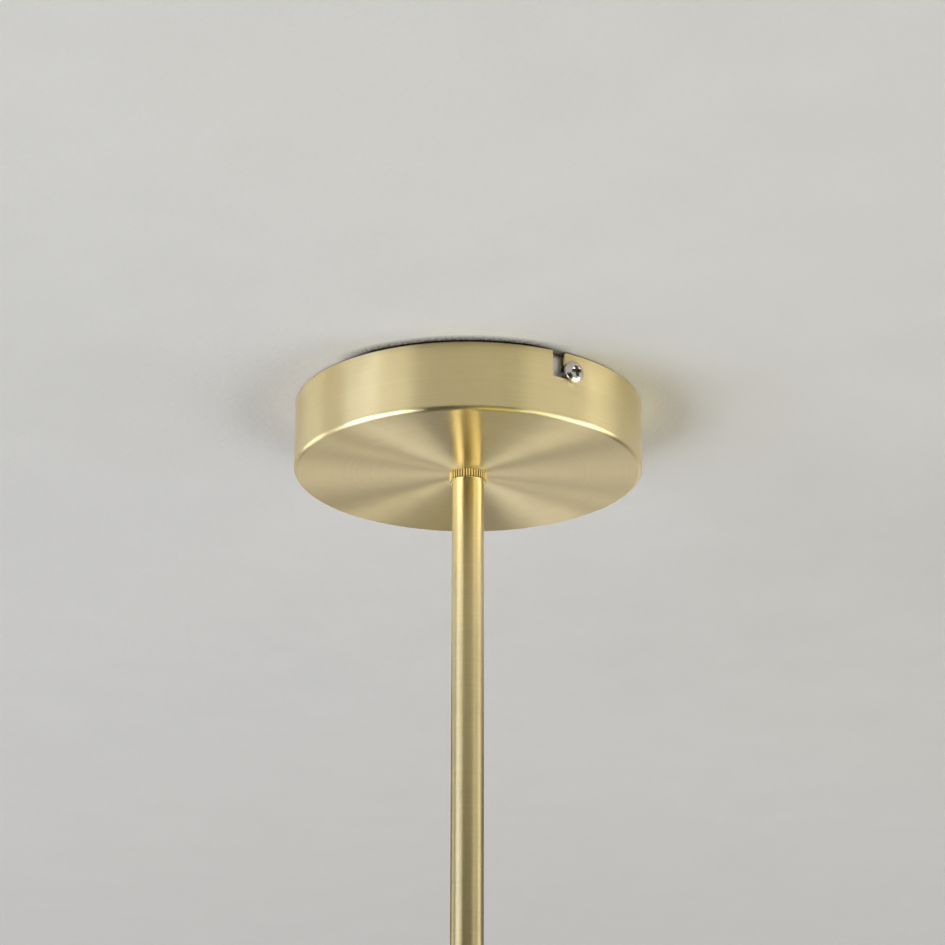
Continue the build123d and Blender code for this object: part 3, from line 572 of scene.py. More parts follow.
def makeToothTree():
    # twisted teeth round a flat washer
    tree, given, result = growTree(
        "twistedTeeth",
        [("Teeth", "Int", 12), ("Ring Radius", "Float", 0.006), ("Tooth Size", "Vector", None),
         ("Twist", "Float", 0.3), ("Level", "Float", 0.0004)],
    )
    tooth = addNode(tree, "MeshCube", {"Size": given["Tooth Size"]})
    lifted = liftedCircle(tree, given["Teeth"], given["Ring Radius"], given["Level"])
    outward = addNode(tree, "VectorMath", {0: addNode(tree, "InputPosition")}, operation="NORMALIZE")
    outward = addNode(tree, "VectorMath", {0: outward, 1: (1.0, 1.0, 0.0)}, operation="MULTIPLY")
    facing = addNode(tree, "AlignRotationToVector", {"Vector": outward}, axis="X", pivot_axis="Z")
    twist = addNode(tree, "CombineXYZ", {0: given["Twist"]})
    turned = addNode(tree, "RotateRotation", {"Rotation": facing, "Rotate By": twist}, rotation_space="LOCAL")
    teeth = addNode(tree, "InstanceOnPoints", {"Points": lifted, "Instance": tooth, "Rotation": turned})
    endTree(tree, teeth, given, result)
    return tree


def makeSpreadTree():
    # copies of one fastener, each turned to face its place's own direction
    tree, given, result = growTree("spreadFasteners", [("Places", "Object", None)])
    spots = addNode(tree, "ObjectInfo", {"Object": given["Places"]}).outputs["Geometry"]
    facing = addNode(tree, "InputNamedAttribute", {"Name": "facing"}, data_type="FLOAT_VECTOR")
    turned = addNode(tree, "AlignRotationToVector", {"Vector": facing}, axis="Z")
    copies = addNode(tree, "InstanceOnPoints", {"Points": spots, "Instance": given["Geometry"],
                                                "Rotation": turned})
    endTree(tree, copies, given, result, joined=False)
    return tree


knurlTree, threadTree = makeKnurlTree(), makeThreadTree()
toothTree, spreadTree = makeToothTree(), makeSpreadTree()


# places: (position in mm, direction that the fastener's own +Z takes)
def spreadCopies(mesh, places, finish):
    spots = bpy.data.meshes.new("places")
    spots.from_pydata([Vector(place) * mm for place, _ in places], [], [])
    facing = spots.attributes.new("facing", "FLOAT_VECTOR", "POINT")
    for index, (_, direction) in enumerate(places):
        facing.data[index].vector = direction
    holder = linked("places", spots)
    made = growMesh(mesh, spreadTree, {"Places": holder, "Finish": finish})
    bpy.data.objects.remove(holder)
    return made


def weighNormals(mesh, sharp=38.0):
    for polygon in mesh.polygons:
        polygon.use_smooth = True
    mesh.set_sharp_from_angle(angle=math.radians(sharp))
    piece = linked("weighed", mesh)
    piece.modifiers.new("weigh", "WEIGHTED_NORMAL").keep_sharp = True
    mesh = settled(piece)
    markEdges(mesh)
    return mesh


# a CAD piece's shape with its doubles merged and its edges eased
def refinedMesh(node, ease, segments=2, angle=32.0):
    work = bmesh.new()
    work.from_mesh(nodes[node].data)
    bmesh.ops.remove_doubles(work, verts=work.verts, dist=1e-6)
    bmesh.ops.dissolve_limit(work, angle_limit=math.radians(0.4), verts=work.verts, edges=work.edges)
    mesh = bpy.data.meshes.new(node + "Refined")
    work.to_mesh(mesh)
    work.free()
    piece = linked("refined", mesh)
    easing = piece.modifiers.new("ease", "BEVEL")
    easing.width, easing.segments = ease * mm, segments
    easing.limit_method, easing.angle_limit = "ANGLE", math.radians(angle)
    easing.miter_outer = "MITER_ARC"
    return weighNormals(settled(piece))


# round-and-along place for a mesh that wasn't turned here, from where its corners lie about an upright axis
def wrapAround(mesh, centre=(0.0, 0.0)):
    spots = [None] * len(mesh.loops)
    for polygon in mesh.polygons:
        middle = math.atan2(polygon.center.y - centre[1], polygon.center.x - centre[0])
        for index in polygon.loop_indices:
            point = mesh.vertices[mesh.loops[index].vertex_index].co
            x, y = point.x - centre[0], point.y - centre[1]
            angle = middle + (math.atan2(y, x) - middle + math.pi) % (2 * math.pi) - math.pi
            spots[index] = (angle / (2 * math.pi), point.z + math.hypot(x, y))
    layRound(mesh, spots)
    return mesh


# ceiling cup: spun brass, its rim and both L-shaped slots one outline with eased edges
cup = {
    "radius": 60.0, "wall": 1.0, "top": -0.4, "bottom": -24.4, "corner": 1.6, "bore": 4.2,
    "sides": 288, "ease": 0.22, "seam": -12.0, "start": -145.0,
    "notch": (-7.586, -3.186), "leg": (-9.6, -4.8), "legEnd": 2.4,
    "warp": 0.4,         # tilt of the underside's normals per metre from the axis
}


def rimOutline():
    # (angle, distance round the wall, height, normal) clockwise from the start angle, in mm and degrees
    radius, top, step = cup["radius"], cup["top"], 360 / cup["sides"]
    (left, right), (low, high), end = cup["notch"], cup["leg"], cup["legEnd"]
    bend = (high - low) / 2 - 0.01
    slot = roundedPath(
        [(right + 3, top, 0), (right, top, 0.8), (right, high, 0.25), (end, high, bend), (end, low, bend),
         (left, low, 0.3), (left, top, 0.8), (left - 3, top, 0)],
        closed=False, longest=0.8, arcStep=18,
    )
    outline, angle = [], cup["start"]
    for middle in (math.degrees(bracketTurn) - 180, math.degrees(bracketTurn) - 360):
        first = middle + math.degrees(math.asin(slot[0][0] / radius))
        while angle > first + 0.3 * step:
            outline.append((math.radians(angle) * radius, top, 0.0, 1.0))
            angle -= step
        for x, y, across, upward in slot:
            turned = math.radians(middle) + math.asin(x / radius)
            outline.append((turned * radius, y, across, upward))
        last = math.degrees(outline[-1][0] / radius)
        while angle > last - 0.3 * step:
            angle -= step
    while angle > cup["start"] - 360 + 0.5 * step:
        outline.append((math.radians(angle) * radius, top, 0.0, 1.0))
        angle -= step
    outline.append((math.radians(cup["start"] - 360) * radius, top, 0.0, 1.0))
    return outline


def makeCanopy():
    radius, wall, ease, sides = cup["radius"], cup["wall"], cup["ease"], cup["sides"]
    outline = rimOutline()
    count = len(outline) - 1
    points, normals = [], []

    def addPoint(angle, distance, height, outward, across, upward):
        points.append(Vector((distance * math.cos(angle), distance * math.sin(angle), height)) * mm)
        normal = Vector((outward * math.cos(angle) - across * math.sin(angle),
                         outward * math.sin(angle) + across * math.cos(angle), upward))
        if upward < -0.9:
            normal += Vector((-points[-1].y, -points[-1].x, 0)) * cup["warp"]
        normals.append(normal.normalized())
        return len(points) - 1

    # rows across the wall's thickness, from the outer face over the eased edge to the inner face
    rows = []
    for tilt in (0, 30, 60, 90, 90, 120, 150, 180):
        turn = math.radians(tilt)
        inside = 1 if len(rows) > 3 else 0
        depth = wall - ease * (1 + math.cos(turn)) if inside else ease * (1 - math.cos(turn))
        drawn = ease * (1 - math.sin(turn))
        row = []
        for x, y, across, upward in outline[:-1]:
            flat = (x - across * drawn) / radius
            row.append(addPoint(flat, radius - depth, y - upward * drawn, math.cos(turn),
                                math.sin(turn) * across, math.sin(turn) * upward))
        rows.append(row)
    faces, spots = [], []

    def addFace(corners):
        faces.append([index for index, _ in corners])
        spots.extend(corners)

    angles = [x / radius for x, _, _, _ in outline]
    for row, other in zip(rows, rows[1:]):
        for j in range(count):
            k = (j + 1) % count
            here, there = angles[j], angles[j + 1]
            addFace([(row[j], here), (other[j], here), (other[k], there), (row[k], there)])

    # rows of the turned part below the slots, from the inner face round the floor to the outer face
    inner, floor = radius - wall, cup["bottom"] + wall
    profile = roundedPath(
        [(inner, cup["seam"], 0), (inner, floor, 0.6), (cup["bore"], floor, 0.15),
         (cup["bore"], cup["bottom"], 0.2), (radius, cup["bottom"], cup["corner"]), (radius, cup["seam"], 0)],
        closed=False, longest=5.0, arcStep=11,
    )
    start, step = math.radians(cup["start"]), 2 * math.pi / sides
    turnedRows = [[addPoint(start - step * side, r, z, nr, 0, nz) for side in range(sides)]
                  for r, z, nr, nz in profile]
    for row, other in zip(turnedRows, turnedRows[1:]):
        for side in range(sides):
            after = (side + 1) % sides
            here, there = start - step * side, start - step * (side + 1)
            addFace([(row[side], here), (other[side], here), (other[after], there), (row[after], there)])

    # the wall between the outline and the turned part, the same triangles on both faces
    flat = [Vector(((x - across * ease), y - upward * ease)) for x, y, across, upward in outline]
    base = [Vector(((start - step * side) * radius, cup["seam"])) for side in range(sides + 1)]
    loop = list(range(len(flat))) + [len(flat) + side for side in reversed(range(sides + 1))]
    edges = [(a, b) for a, b in zip(loop, loop[1:] + loop[:1])]
    filled = delaunay_2d_cdt(flat + base, edges, [], 1, 1e-7)
    origins = filled[3]
    for triangle in filled[2]:
        kept = [origins[index][0] for index in triangle]
        a, b, c = ((flat + base)[index] for index in kept)
        if (b - a).cross(c - a) < 0:
            kept.reverse()
        for row, seamRow, order in ((rows[0], turnedRows[-1], 1), (rows[-1], turnedRows[0], -1)):
            corners = []
            for index in kept[::order]:
                own = index < len(flat)
                place = row[index % count] if own else seamRow[(index - len(flat)) % sides]
                corners.append((place, (flat + base)[index].x / radius))
            addFace(corners)
    corners = []
    for index, angle in spots:
        distance = math.hypot(points[index].x, points[index].y)
        corners.append((normals[index], angle / (2 * math.pi), points[index].z + distance))
    putPiece("spunCanopy", cornerMesh("canopy", points, faces, corners), "canopy")


makeCanopy()
print("canopy ready")

# stem, its two knurled rings and the threaded tubes
stem = {"radius": 5.5, "bore": 4.2, "top": -27.6, "foot": -277.6}
# the ring's dull radius bounds the groove faces that take the dark brass, painted groove shade with darkened
# lacquer
ring = {"radius": 6.45, "height": 3.2, "bore": 4.05, "ribs": 42, "rib": 0.26, "overlap": 0.21, "point": 0.34,
        "grooveShadeReach": 6.03}
tube = {"radius": 4.0, "bore": 2.8, "pitch": 0.75, "ridge": 0.27, "play": 0.8}


def tubeMesh(radius, bore, low, high, ease=0.2, **more):
    corners = [(bore, low, ease), (radius, low, ease), (radius, high, ease), (bore, high, ease)]
    return turnedMesh("tube", corners, **more)


def knurledMesh(radius):
    core, bore, height = radius - ring["rib"] - ring["overlap"], ring["bore"], ring["height"]
    corners = [(bore, 0, 0.15), (core, 0, 0.2), (core, height, 0.2), (bore, height, 0.15)]
    return growMesh(turnedMesh("ringCore", corners), knurlTree, {
        "Ribs": ring["ribs"], "Ring Radius": (radius - ring["rib"]) * mm, "Rib Radius": ring["rib"] * mm,
        "Height": (height - 0.02) * mm, "Point": ring["point"] * mm, "Finish": finishes["polished_brass"]})


def threadedMesh(core, length, radius, ridge, pitch, finish, closed=True):
    made = turnedMesh("threadCore", core, closed=closed, steps=48)
    turning = length - 2 * tube["play"]
    return growMesh(made, threadTree, {
        "Radius": radius * mm, "Turns": turning / pitch, "Length": turning * mm, "Ridge": ridge * mm,
        "Finish": finish})


def threadedTube(length):
    bore, radius, ridge = tube["bore"], tube["radius"], tube["ridge"]
    core = radius - 1.15 * ridge
    corners = [(bore, 0, 0.1), (core, 0, 0.4), (core, length, 0.4), (bore, length, 0.1)]
    made = threadedMesh(corners, length, radius, ridge, tube["pitch"], finishes["bare_brass"])
    return weighNormals(made, 50)


def liftedMesh(mesh, level):
    mesh.transform(at(0, 0, level))
    return mesh


mesh = tubeMesh(stem["radius"], stem["bore"], stem["foot"], stem["top"], steps=128, longest=25)
putPiece("stemTube", mesh, "stem_tube", stemFinish)
for name, node, level in (("topRing", "stem_top_ring", stem["top"]),
                          ("footRing", "stem_foot_ring", stem["foot"] - ring["height"])):
    mesh = liftedMesh(weighNormals(knurledMesh(ring["radius"])), level)
    putPiece(name, mesh, node)
    # faces down in the grooves take the dark brass: painted groove shade with darkened lacquer
    mesh.materials.append(grooveShadeAndLacquerFinish)
    for polygon in mesh.polygons:
        inGroove = polygon.center.xy.length < ring["grooveShadeReach"] * mm and abs(polygon.normal.z) < 0.5
        polygon.material_index = int(inGroove)
putPiece("canopyTube", liftedMesh(threadedTube(24.2), -39.6), "canopy_nipple")
putPiece("hubTube", liftedMesh(threadedTube(21.2), -286.8), "hub_nipple")
print("stem ready")

# hub, arms and lamp cups
arm = {"start": 24.3, "reach": 165.0, "bend": 28.0, "foot": 14.0, "level": -293.8, "radius": 5.0, "bore": 4.2}
lampCup = {"radius": 23.0, "wall": 1.0, "top": -339.0, "bottom": -369.0, "corner": 1.6}
collar = {"radius": 21.9, "wall": 1.4, "top": -340.0, "bottom": -364.0}
glass = {"radius": 55.0, "wall": 2.2, "neck": 19.5, "neckTop": 64.43, "lip": 0.8, "lipHeight": 1.6,
         "centre": -419.76, "gap": 0.06, "outerSteps": 60, "innerSteps": 48}
pinLevel = -358.0       # the lamps' pins and caps stand above this, their glass below
armTurns = [math.radians(90 * number) for number in range(4)]
armSides = [(math.cos(turn), math.sin(turn)) for turn in armTurns]
atCups = [(arm["reach"] * x, arm["reach"] * y) for x, y in armSides]


def armBend(point, normal):
    straight = arm["reach"] - arm["bend"] - arm["start"]
    along, bend = point.z / mm, arm["bend"]
    turn = min(max(along - straight, 0) / bend, math.pi / 2)
    before = min(along, straight)
    after = max(along - straight - bend * math.pi / 2, 0)
    x, z = arm["start"] + before + bend * math.sin(turn), arm["level"] - bend + bend * math.cos(turn) - after
    side, upward = Vector((0, 1, 0)), Vector((math.sin(turn), 0, math.cos(turn)))
    onward = Vector((math.cos(turn), 0, -math.sin(turn)))
    place = Vector((x, 0, z)) * mm + side * point.x + upward * point.y
    return place, side * normal.x + upward * normal.y + onward * normal.z


def bowlMesh(sizes, bore, eases, place, steps, longest=6.0):
    radius, wall, low, high = (sizes[key] for key in ("radius", "wall", "bottom", "top"))
    rim, corner, mouth, throat, inner = eases
    corners = [(radius - wall, low, rim), (radius, low, rim), (radius, high, corner), (bore, high, mouth),
               (bore, high - wall, throat), (radius - wall, high - wall, inner)]
    return turnedMesh("bowl", corners, at(*place), steps=steps, longest=longest)


def globeMesh(place):
    radius, inside, neck = glass["radius"], glass["radius"] - glass["wall"], glass["neck"]
    bore, top, lip, gap = neck - glass["wall"], glass["neckTop"], glass["lip"], glass["gap"]
    joint, seat = math.asin(neck / radius), math.asin(bore / inside)
    lipLevel = top - glass["lipHeight"]

    def ball(size, hand, turn):
        across, down = math.sin(turn), math.cos(turn)
        return size * across, -size * down, hand * across, -hand * down

    outer, inner = glass["outerSteps"], glass["innerSteps"]
    rows = [ball(radius, 1, (math.pi - joint - gap) * step / outer) for step in range(outer + 1)]
    corners = [rows[-1][:2] + (0,), (neck, radius * math.cos(joint) + 0.3, 2.4), (neck, lipLevel, 0.3),
               (neck + lip, lipLevel, 0.4), (neck + lip, top, 0.5), (bore, top, 0.7),
               (bore, inside * math.cos(seat) + 0.3, 2.0),
               (inside * math.sin(seat + gap), inside * math.cos(seat + gap), 0)]
    rows += roundedPath(corners, closed=False, longest=3, arcStep=20)[1:-1]
    rows += [ball(inside, -1, (math.pi - seat - gap) * (inner - step) / inner) for step in range(inner + 1)]
    return turnedMesh("globe", rows, at(*place, glass["centre"]), closed=False, steps=112, given=True)


armRun = arm["reach"] - arm["bend"] - arm["start"] + arm["bend"] * math.pi / 2 + arm["foot"]
for number, (turn, place) in enumerate(zip(armTurns, atCups), start=1):
    mesh = tubeMesh(arm["radius"], arm["bore"], 0, armRun, lay=Matrix.Rotation(turn, 4, "Z"), longest=2.5,
                    steps=64, bend=armBend)
    putPiece(f"armTube{number}", mesh, f"arm_tube_{number}", stemFinish)
    mesh = bowlMesh(lampCup, 4.2, (0.35, lampCup["corner"], 0.2, 0.15, 0.7), place, 144, 5)
    putPiece(f"lampCup{number}", mesh, f"lamp_cup_{number}")
    mesh = bowlMesh(collar, 4.2, (0.3, 1.6, 0.2, 0.2, 0.5), place, 96)
    putPiece(f"shadeCollar{number}", mesh, f"shade_collar_{number}")
    putPiece(f"lampHolder{number}", refinedMesh(f"lamp_holder_{number}", 0.25), f"lamp_holder_{number}")
    mesh = refinedMesh(f"lamp_{number}", 0.15)
    putPiece(f"capsuleLamp{number}", mesh, f"lamp_{number}")
    mesh.materials.append(finishes["tinned_metal"])
    for polygon in mesh.polygons:
        polygon.material_index = int(polygon.center.z > pinLevel * mm)
    putPiece(f"opalGlobe{number}", globeMesh(place), f"glass_globe_{number}")

putPiece("hubBody", wrapAround(refinedMesh("hub_body", 0.2)), "hub_body")
putPiece("hubCap", wrapAround(refinedMesh("hub_cap", 0.2)), "hub_cap")
putPiece("hubConnector", refinedMesh("hub_connector", 0.4), "hub_connector")
print("hub, arms and globes ready")

# fasteners of the four arms and of the canopy
upwards = (0, 0, 1)
washer = {"radius": 12.0, "bottom": -23.4, "top": -22.2}
tooth = {"bore": 4.2, "radius": 6.1, "low": 0.12, "high": 0.68, "teeth": 12, "at": 6.35,
         "size": (1.3, 1.8, 0.38), "twist": 0.2, "level": 0.4}
bush = {"bore": 2.2, "radius": 2.75, "brim": 4.0, "bottom": -18.4, "seat": -15.4, "top": -14.2}


def outward(distance):
    return [((distance * x, distance * y, arm["level"]), (x, y, 0)) for x, y in armSides]


def overCups(level):
    return [((x, y, level), upwards) for x, y in atCups]


def joinMeshes(name, meshes):
    work = bmesh.new()
    for mesh in meshes:
        work.from_mesh(mesh)
    joined = bpy.data.meshes.new(name)
    work.to_mesh(joined)
    work.free()
    return joined


def toothedMesh():
    low, high = tooth["low"], tooth["high"]
    core = tubeMesh(tooth["radius"], tooth["bore"], low, high, 0.1, steps=48)
    return growMesh(core, toothTree, {
        "Teeth": tooth["teeth"], "Ring Radius": tooth["at"] * mm, "Twist": tooth["twist"],
        "Tooth Size": tuple(side * mm for side in tooth["size"]), "Level": tooth["level"] * mm,
        "Finish": finishes["zinc_steel"]})


def spreadOut(name, mesh, places, node):
    putPiece(name, weighNormals(spreadCopies(mesh, places, finishes[slotOf[node]])), node)


spreadOut("armRings", knurledMesh(5.95), outward(21.1) + overCups(lampCup["top"]), "arm_rings")
parts = [spreadCopies(threadedTube(length), places, finishes["bare_brass"])
         for length, places in ((21.3, outward(15)), (26.4, overCups(-350.2)))]
putPiece("armTubesThreaded", weighNormals(joinMeshes("armTubes", parts), 50), "arm_nipples")
spreadOut("cupToothWashers", toothedMesh(), overCups(-342.2), "cup_washers")
putPiece("canopyToothWasher", liftedMesh(weighNormals(toothedMesh()), washer["top"]), "canopy_tooth_washer")
nut = refinedMesh("canopy_nut", 0.3)
putPiece("canopyNut", nut.copy(), "canopy_nut")
spreadOut("cupNuts", liftedMesh(nut, 21.4), overCups(-346.2), "cup_nuts")
mesh = tubeMesh(washer["radius"], 4.2, washer["bottom"], washer["top"], 0.15)
putPiece("canopyWasher", mesh, "canopy_washer")
corners = [(bush["bore"], bush["bottom"], 0.2), (bush["radius"], bush["bottom"], 0.2),
           (bush["radius"], bush["seat"], 0.1), (bush["brim"], bush["seat"], 0.15),
           (bush["brim"], bush["top"], 0.5), (bush["bore"], bush["top"], 0.6)]
putPiece("wireBush", turnedMesh("bush", corners, steps=64), "wire_bush")
print("fasteners ready")

# ceiling bracket, terminals and screws
for name, node, ease in (("bracketStrip", "ceiling_bracket", 0.15), ("terminalBlock", "terminal_block", 0.3),
                         ("terminalSleeves", "terminal_sleeves", 0.12), ("earthEyelet", "earth_eyelet", 0.12),
                         ("earthWasher", "earth_washer", 0.12)):
    putPiece(name, refinedMesh(node, ease), node, platedFinish if node == "ceiling_bracket" else None)

across = Matrix.Rotation(bracketTurn, 4, "Z")


def cutMesh(mesh, cutter):
    piece, tool = linked("cut", mesh), linked("cutter", cutter)
    knife = piece.modifiers.new("cut", "BOOLEAN")
    knife.object, knife.operation, knife.solver = tool, "DIFFERENCE", "EXACT"
    result = settled(piece)
    bpy.data.objects.remove(tool)
    return result


# a wedge-sided bar from a low rectangle to a high one, for screw slots and crosses
def barMesh(low, high, foot, head, turn=0.0):
    spin = Matrix.Rotation(turn, 3, "Z")
    signs = (-1, -1), (1, -1), (1, 1), (-1, 1)
    points = [spin @ Vector((x * width / 2, y * length / 2, level)) * mm
              for level, (width, length) in ((low, foot), (high, head)) for x, y in signs]
    mesh = bpy.data.meshes.new("bar")
    sides = [(0, 1, 5, 4), (1, 2, 6, 5), (2, 3, 7, 6), (3, 0, 4, 7)]
    mesh.from_pydata(points, [], [(3, 2, 1, 0), (4, 5, 6, 7), *sides])
    return mesh


# slotted screws: a cheese head that stands on its own z = 0 with the shank below, or a headless screw
clampScrew = {"shank": 1.27, "length": 3.1, "head": 1.27, "height": 0.5, "slot": 0.5, "depth": 0.8}
fixingScrew = {"shank": 1.47, "length": 11.8, "head": 2.2, "height": 1.6, "slot": 0.7, "depth": 0.8}
earthScrew = {"shank": 1.95, "length": 4.7, "head": 4.0, "height": 2.4, "slot": 1.3, "depth": 1.2}


def slottedMesh(shank, length, head, height, slot, depth):
    if head > shank:
        top = [(shank, 0, 0.08), (head, 0, 0.12), (head, height, 0.3)]
        corners = [(0, -length, 0), (shank, -length, 0.25), *top, (0, height, 0)]
    else:
        corners = [(0, -length, 0), (shank, -length, 0.4), (shank, height, 0.2), (0, height, 0)]
    made = turnedMesh("slotted", corners, closed=False, steps=32)
    return cutMesh(made, barMesh(height - depth, height + 1, (slot, 9), (slot, 9)))


def slottedScrews(name, screw, spots, node):
    places = [(tuple(across @ Vector(spot)), (0, 0, -1)) for spot in spots]
    spreadOut(name, slottedMesh(**screw), places, node)


slottedScrews("clampScrews", clampScrew, [(18 + x, y, -10.7) for y in (-10, 0, 10) for x in (-4, 4)],
              "terminal_clamp_screws")
slottedScrews("fixingScrews", fixingScrew, [(18, y, -11.9) for y in (-5, 5)], "terminal_fixing_screws")
slottedScrews("earthScrew", earthScrew, [(-20, 0, -4.9)], "earth_screw")

# lock screws: pan heads with a cross recess
lockScrew = {
    "head": 3.76, "height": 2.3, "flat": 2.5, "seat": 60.3, "drop": -6.9, "length": 10.0,
    "shank": 1.98, "core": 1.8263025, "ridge": 0.216, "pitch": 0.7,
    "recess": 1.7, "foot": (0.7, 2.0), "mouth": (1.3, 4.9), "recessTurn": math.radians(10), "dark": 2.6,
}


def makeLockScrew(name, node, turn):
    head, height, length = lockScrew["head"], lockScrew["height"], lockScrew["length"] + 0.1
    corners = [(0, 0, 0), (head, 0, 0.1), (head, 0.9, 0.7), (lockScrew["flat"], height - 0.4, 2.0),
               (0, height, 0)]
    made = turnedMesh("panHead", corners, closed=False, steps=72)
    for turned in (0, math.pi / 2):
        made = cutMesh(made, barMesh(height - lockScrew["recess"], height + 0.4, lockScrew["foot"],
                                     lockScrew["mouth"], lockScrew["recessTurn"] + turned))
    core = lockScrew["core"]
    corners = [(0, 0, 0), (core, 0, 0.4), (core, length, 0.3), (0, length, 0)]
    shank = threadedMesh(corners, length, lockScrew["shank"], lockScrew["ridge"], lockScrew["pitch"],
                         finishes["nickel_screw"], closed=False)
    mesh = weighNormals(joinMeshes("lockScrew", [made, liftedMesh(shank, 0.1 - length)]))
    # painted shade: the cross recess's faces in the head, within lockScrew's dark radius, take the dark nickel
    recessShadeFaces = []
    for polygon in mesh.polygons:
        place, floor = polygon.center, (height - 0.7) * mm
        inHead = place.z > 0.3 * mm and place.xy.length < lockScrew["dark"] * mm
        recessShadeFaces.append(int(inHead and (polygon.normal.z < 0.6 or place.z < floor)))
    side, outward = Vector((-math.sin(turn), math.cos(turn), 0)), Vector((math.cos(turn), math.sin(turn), 0))
    lay = Matrix((side, Vector((0, 0, 1)), outward)).transposed().to_4x4()
    seat = outward * lockScrew["seat"] + Vector((0, 0, lockScrew["drop"]))
    mesh.transform(Matrix.Translation(seat * mm) @ lay)
    putPiece(name, mesh, node)
    mesh.materials.append(recessShadeFinish)
    mesh.polygons.foreach_set("material_index", recessShadeFaces)


makeLockScrew("frontLockScrew", "lock_screw_front", bracketTurn)
makeLockScrew("rearLockScrew", "lock_screw_rear", bracketTurn + math.pi)
print("bracket and screws ready")

# room: one-sided ceiling, floor, lamps
room = {
    "ceilingHole": 0.050,
    "ceilingReach": 8.0,
    "litReach": (0.26, 0.40),    # the pieces reflect the ceiling as lit up to here and as a dark room beyond
    "unlit": (0.03, 0.03, 0.03),
    "plaster": (0.60, 0.592, 0.575),
    # painted shade on the ceiling at the cup's rim: its colour, how far it reaches, the contact shadow line, and
    # the side and arc it covers
    "paintedRimShade": (0.035, 0.032, 0.030),
    "paintedShadeReach": (0.0646, 0.0610),
    "paintedContactShadowReach": (0.0611, 0.0603),
    "paintedShadeSide": (0.10, 0.995, 0.0),          # the dark band lies along the front of the rim
    "paintedShadeArc": (-0.76, -0.90),
    "pale": (0.60, 0.595, 0.585),            # far ceiling and floor as the camera sees them
    "paleReach": (0.2, 1.4, 0.0, 0.75),
    "floorLevel": -3.2,
    "floorPaint": ((0.60, 0.60, 0.59), (0.64, 0.64, 0.63)),
    "floorReach": 30.0,
    "worldColour": (1.0, 0.95, 0.876, 1),
    "worldStrength": 0.887,
}


def ringPiece(name, inner, outer, level, facesDown, steps=96):
    turns = [2 * math.pi * step / steps for step in range(steps)]
    points = [(radius * math.cos(turn), radius * math.sin(turn), level)
              for radius in (inner, outer) for turn in turns]
    faces = []
    for step in range(steps):
        after = (step + 1) % steps
        face = (step, step + steps, after + steps, after)
        faces.append(face[::-1] if facesDown else face)
    mesh = bpy.data.meshes.new(name)
    mesh.from_pydata(points, [], faces)
    return linked(name, mesh)


def makeCeilingPlasterAndShade():
    material, tree = newMaterial("ceilingPlasterAndShade")
    place = ownPlace(tree)
    grain = fillGroup(tree, fineGrain, {"Place": place, "Grain Scale": 420.0, "Speck Scale": 170.0})
    away = addNode(tree, "VectorMath", {0: place}, operation="LENGTH").outputs["Value"]
    tone = spread(tree, noise(tree, place, 22.0, 4.0), 0.3, 0.7)
    colour = blendColours(tree, tone, grown(room["plaster"], 0.985), grown(room["plaster"], 1.015))
    # painted shade: a speckled dark band and a painted contact shadow line on the ceiling along the front of the
    # rim
    side = addNode(tree, "VectorMath", {0: place, 1: room["paintedShadeSide"]}, operation="DOT_PRODUCT")
    front = spread(tree, reckon(tree, "DIVIDE", side.outputs["Value"], away), *room["paintedShadeArc"])
    specks = spread(tree, noise(tree, place, 900.0, 2.0), 0.42, 0.60, 0.62, 0.92)
    paintedRimShade = reckon(tree, "MULTIPLY", specks, spread(tree, away, *room["paintedShadeReach"]))
    paintedRimShade = reckon(tree, "MAXIMUM", paintedRimShade, spread(tree, away, *room["paintedContactShadowReach"]))
    colour = blendColours(tree, reckon(tree, "MULTIPLY", paintedRimShade, front), colour, room["paintedRimShade"])
    seen = addNode(tree, "LightPath").outputs["Is Camera Ray"]
    unseen = reckon(tree, "SUBTRACT", 1.0, seen)
    unlit = reckon(tree, "MULTIPLY", spread(tree, away, *room["litReach"]), unseen)
    colour = blendColours(tree, unlit, colour, room["unlit"])
    plain = addNode(tree, "BsdfDiffuse", {"Color": colour, "Normal": raised(tree, grain["Grain"], 0.00025)})
    pale = addNode(tree, "Emission", {"Color": (*room["pale"], 1), "Strength": 1.0})
    share = reckon(tree, "MULTIPLY", seen, spread(tree, away, *room["paleReach"]))
    plain = addNode(tree, "MixShader", {0: share, 1: plain, 2: pale})
    clear = addNode(tree, "BsdfTransparent")
    behind = addNode(tree, "NewGeometry").outputs["Backfacing"]
    closeMaterial(tree, addNode(tree, "MixShader", {0: behind, 1: plain, 2: clear}))
    return material


def makeFloorPaint():
    material, tree = newMaterial("floorPaint")
    tone = noise(tree, ownPlace(tree), 2.0, 3.0)
    plain = addNode(tree, "BsdfDiffuse", {"Color": blendColours(tree, tone, *room["floorPaint"])})
    pale = addNode(tree, "Emission", {"Color": blendColours(tree, tone, grown(room["pale"], 0.98),
                                                            grown(room["pale"], 1.02))})
    seen = addNode(tree, "LightPath").outputs["Is Camera Ray"]
    share = reckon(tree, "MULTIPLY", seen, room["paleReach"][3])
    closeMaterial(tree, addNode(tree, "MixShader", {0: share, 1: plain, 2: pale}))
    return material


def makeRoom():
    ceiling = ringPiece("ceiling", room["ceilingHole"], room["ceilingReach"], 0.0, True)
    ceiling.data.materials.append(makeCeilingPlasterAndShade())
    floor = ringPiece("floor", 0.001, room["floorReach"], room["floorLevel"], False)
    floor.data.materials.append(makeFloorPaint())
    world = bpy.data.worlds.new("room")
    world.use_nodes = True
    background = world.node_tree.nodes["Background"]
    background.inputs["Color"].default_value = room["worldColour"]
    background.inputs["Strength"].default_value = room["worldStrength"]
    scene.world = world


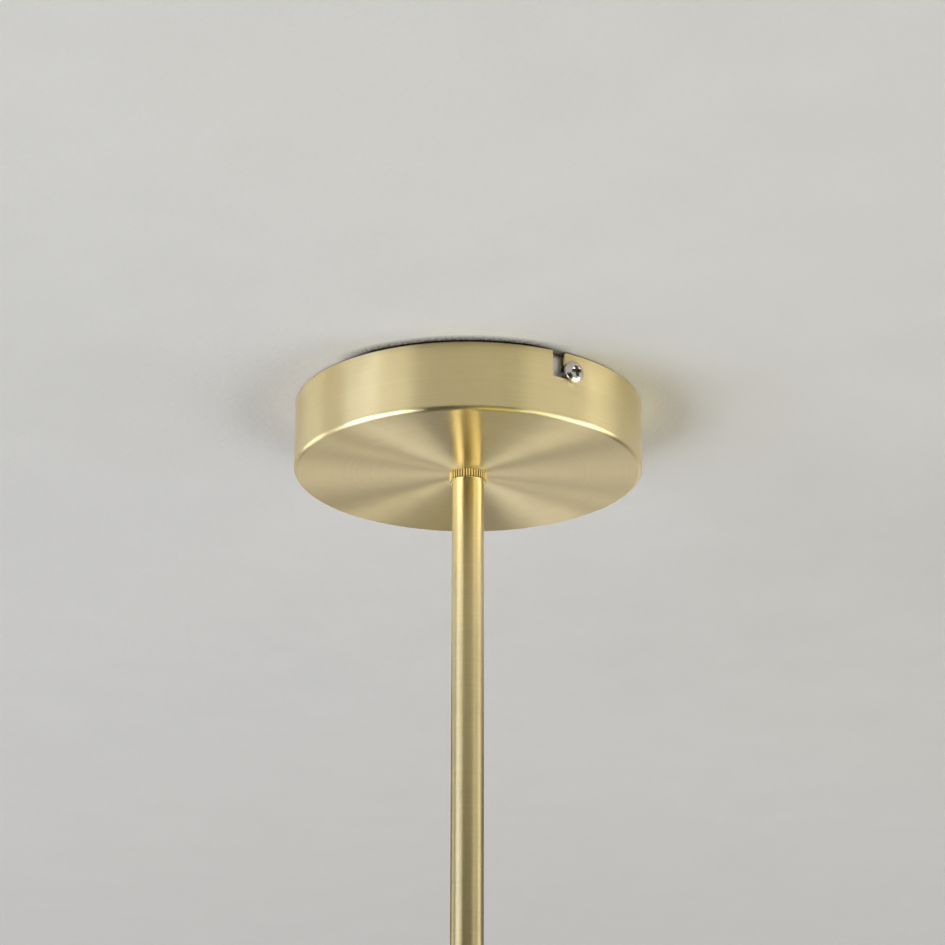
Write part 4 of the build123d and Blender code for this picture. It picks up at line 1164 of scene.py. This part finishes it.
# square lamps on a sphere round the cup
lampAway, lampSize = 2.0, 0.9
lamps = [
    # name, degrees to the right of the camera's side, degrees below the ceiling, power, colour
    ("backLeftFill", -144, 45, 1.26, (1.00, 0.95, 0.97)),
    ("leftRear", -120, 20, 5.02, (0.93, 0.97, 1.00)),
    ("leftSoftbox", -96, 45, 9.27, (0.87, 0.88, 1.00)),
    ("leftWindow", -72, 20, 7.12, (0.60, 0.72, 1.00)),
    ("leftFront", -60, 45, 14.61, (0.88, 0.91, 1.00)),
    ("lowFill", 30, 68, 3.82, (1.00, 0.89, 0.28)),
    ("rightFront", 60, 45, 6.14, (0.98, 1.00, 0.87)),
    ("rightWindow", 96, 20, 5.32, (0.99, 1.00, 0.91)),
    ("rightSoftbox", 96, 45, 10.40, (0.97, 0.97, 1.00)),
    ("backFill", 168, 20, 0.89, (0.88, 0.89, 1.00)),
]


def softLamp(name, side, below, power, colour):
    turn, drop = math.radians(side), math.radians(below)
    place = Vector((math.sin(turn) * math.cos(drop), -math.cos(turn) * math.cos(drop), -math.sin(drop)))
    place *= lampAway
    data = bpy.data.lights.new(name, "AREA")
    data.shape, data.size, data.energy, data.color = "SQUARE", lampSize, power, colour
    lamp = linked(name, data)
    lamp.matrix_world = Matrix.Translation(place) @ (-place).to_track_quat("-Z", "Y").to_matrix().to_4x4()
    lamp.visible_camera = False


# dark cloth behind the camera, which the front of the cup and of the stem reflects
cloth = {"half": 2.4, "behind": -3.4, "bottom": -3.1, "top": -0.2,
         "colours": ((0.03, 0.03, 0.03), (0.05, 0.05, 0.05))}


def makeFlag():
    half, behind, bottom, top = cloth["half"], cloth["behind"], cloth["bottom"], cloth["top"]
    mesh = bpy.data.meshes.new("darkFlag")
    points = (-half, behind, bottom), (half, behind, bottom), (half, behind, top), (-half, behind, top)
    mesh.from_pydata(points, [], [(0, 1, 2, 3)])
    material, tree = newMaterial("darkCloth")
    weave = addNode(tree, "TexNoise", {"Vector": ownPlace(tree), "Scale": 60.0}).outputs[0]
    closeMaterial(tree, addNode(tree, "BsdfDiffuse", {"Color": blendColours(tree, weave, *cloth["colours"])}))
    mesh.materials.append(material)
    flag = linked("darkFlag", mesh)
    flag.visible_camera = False


makeRoom()
for lamp in lamps:
    softLamp(*lamp)
makeFlag()
print("room and lamps ready")
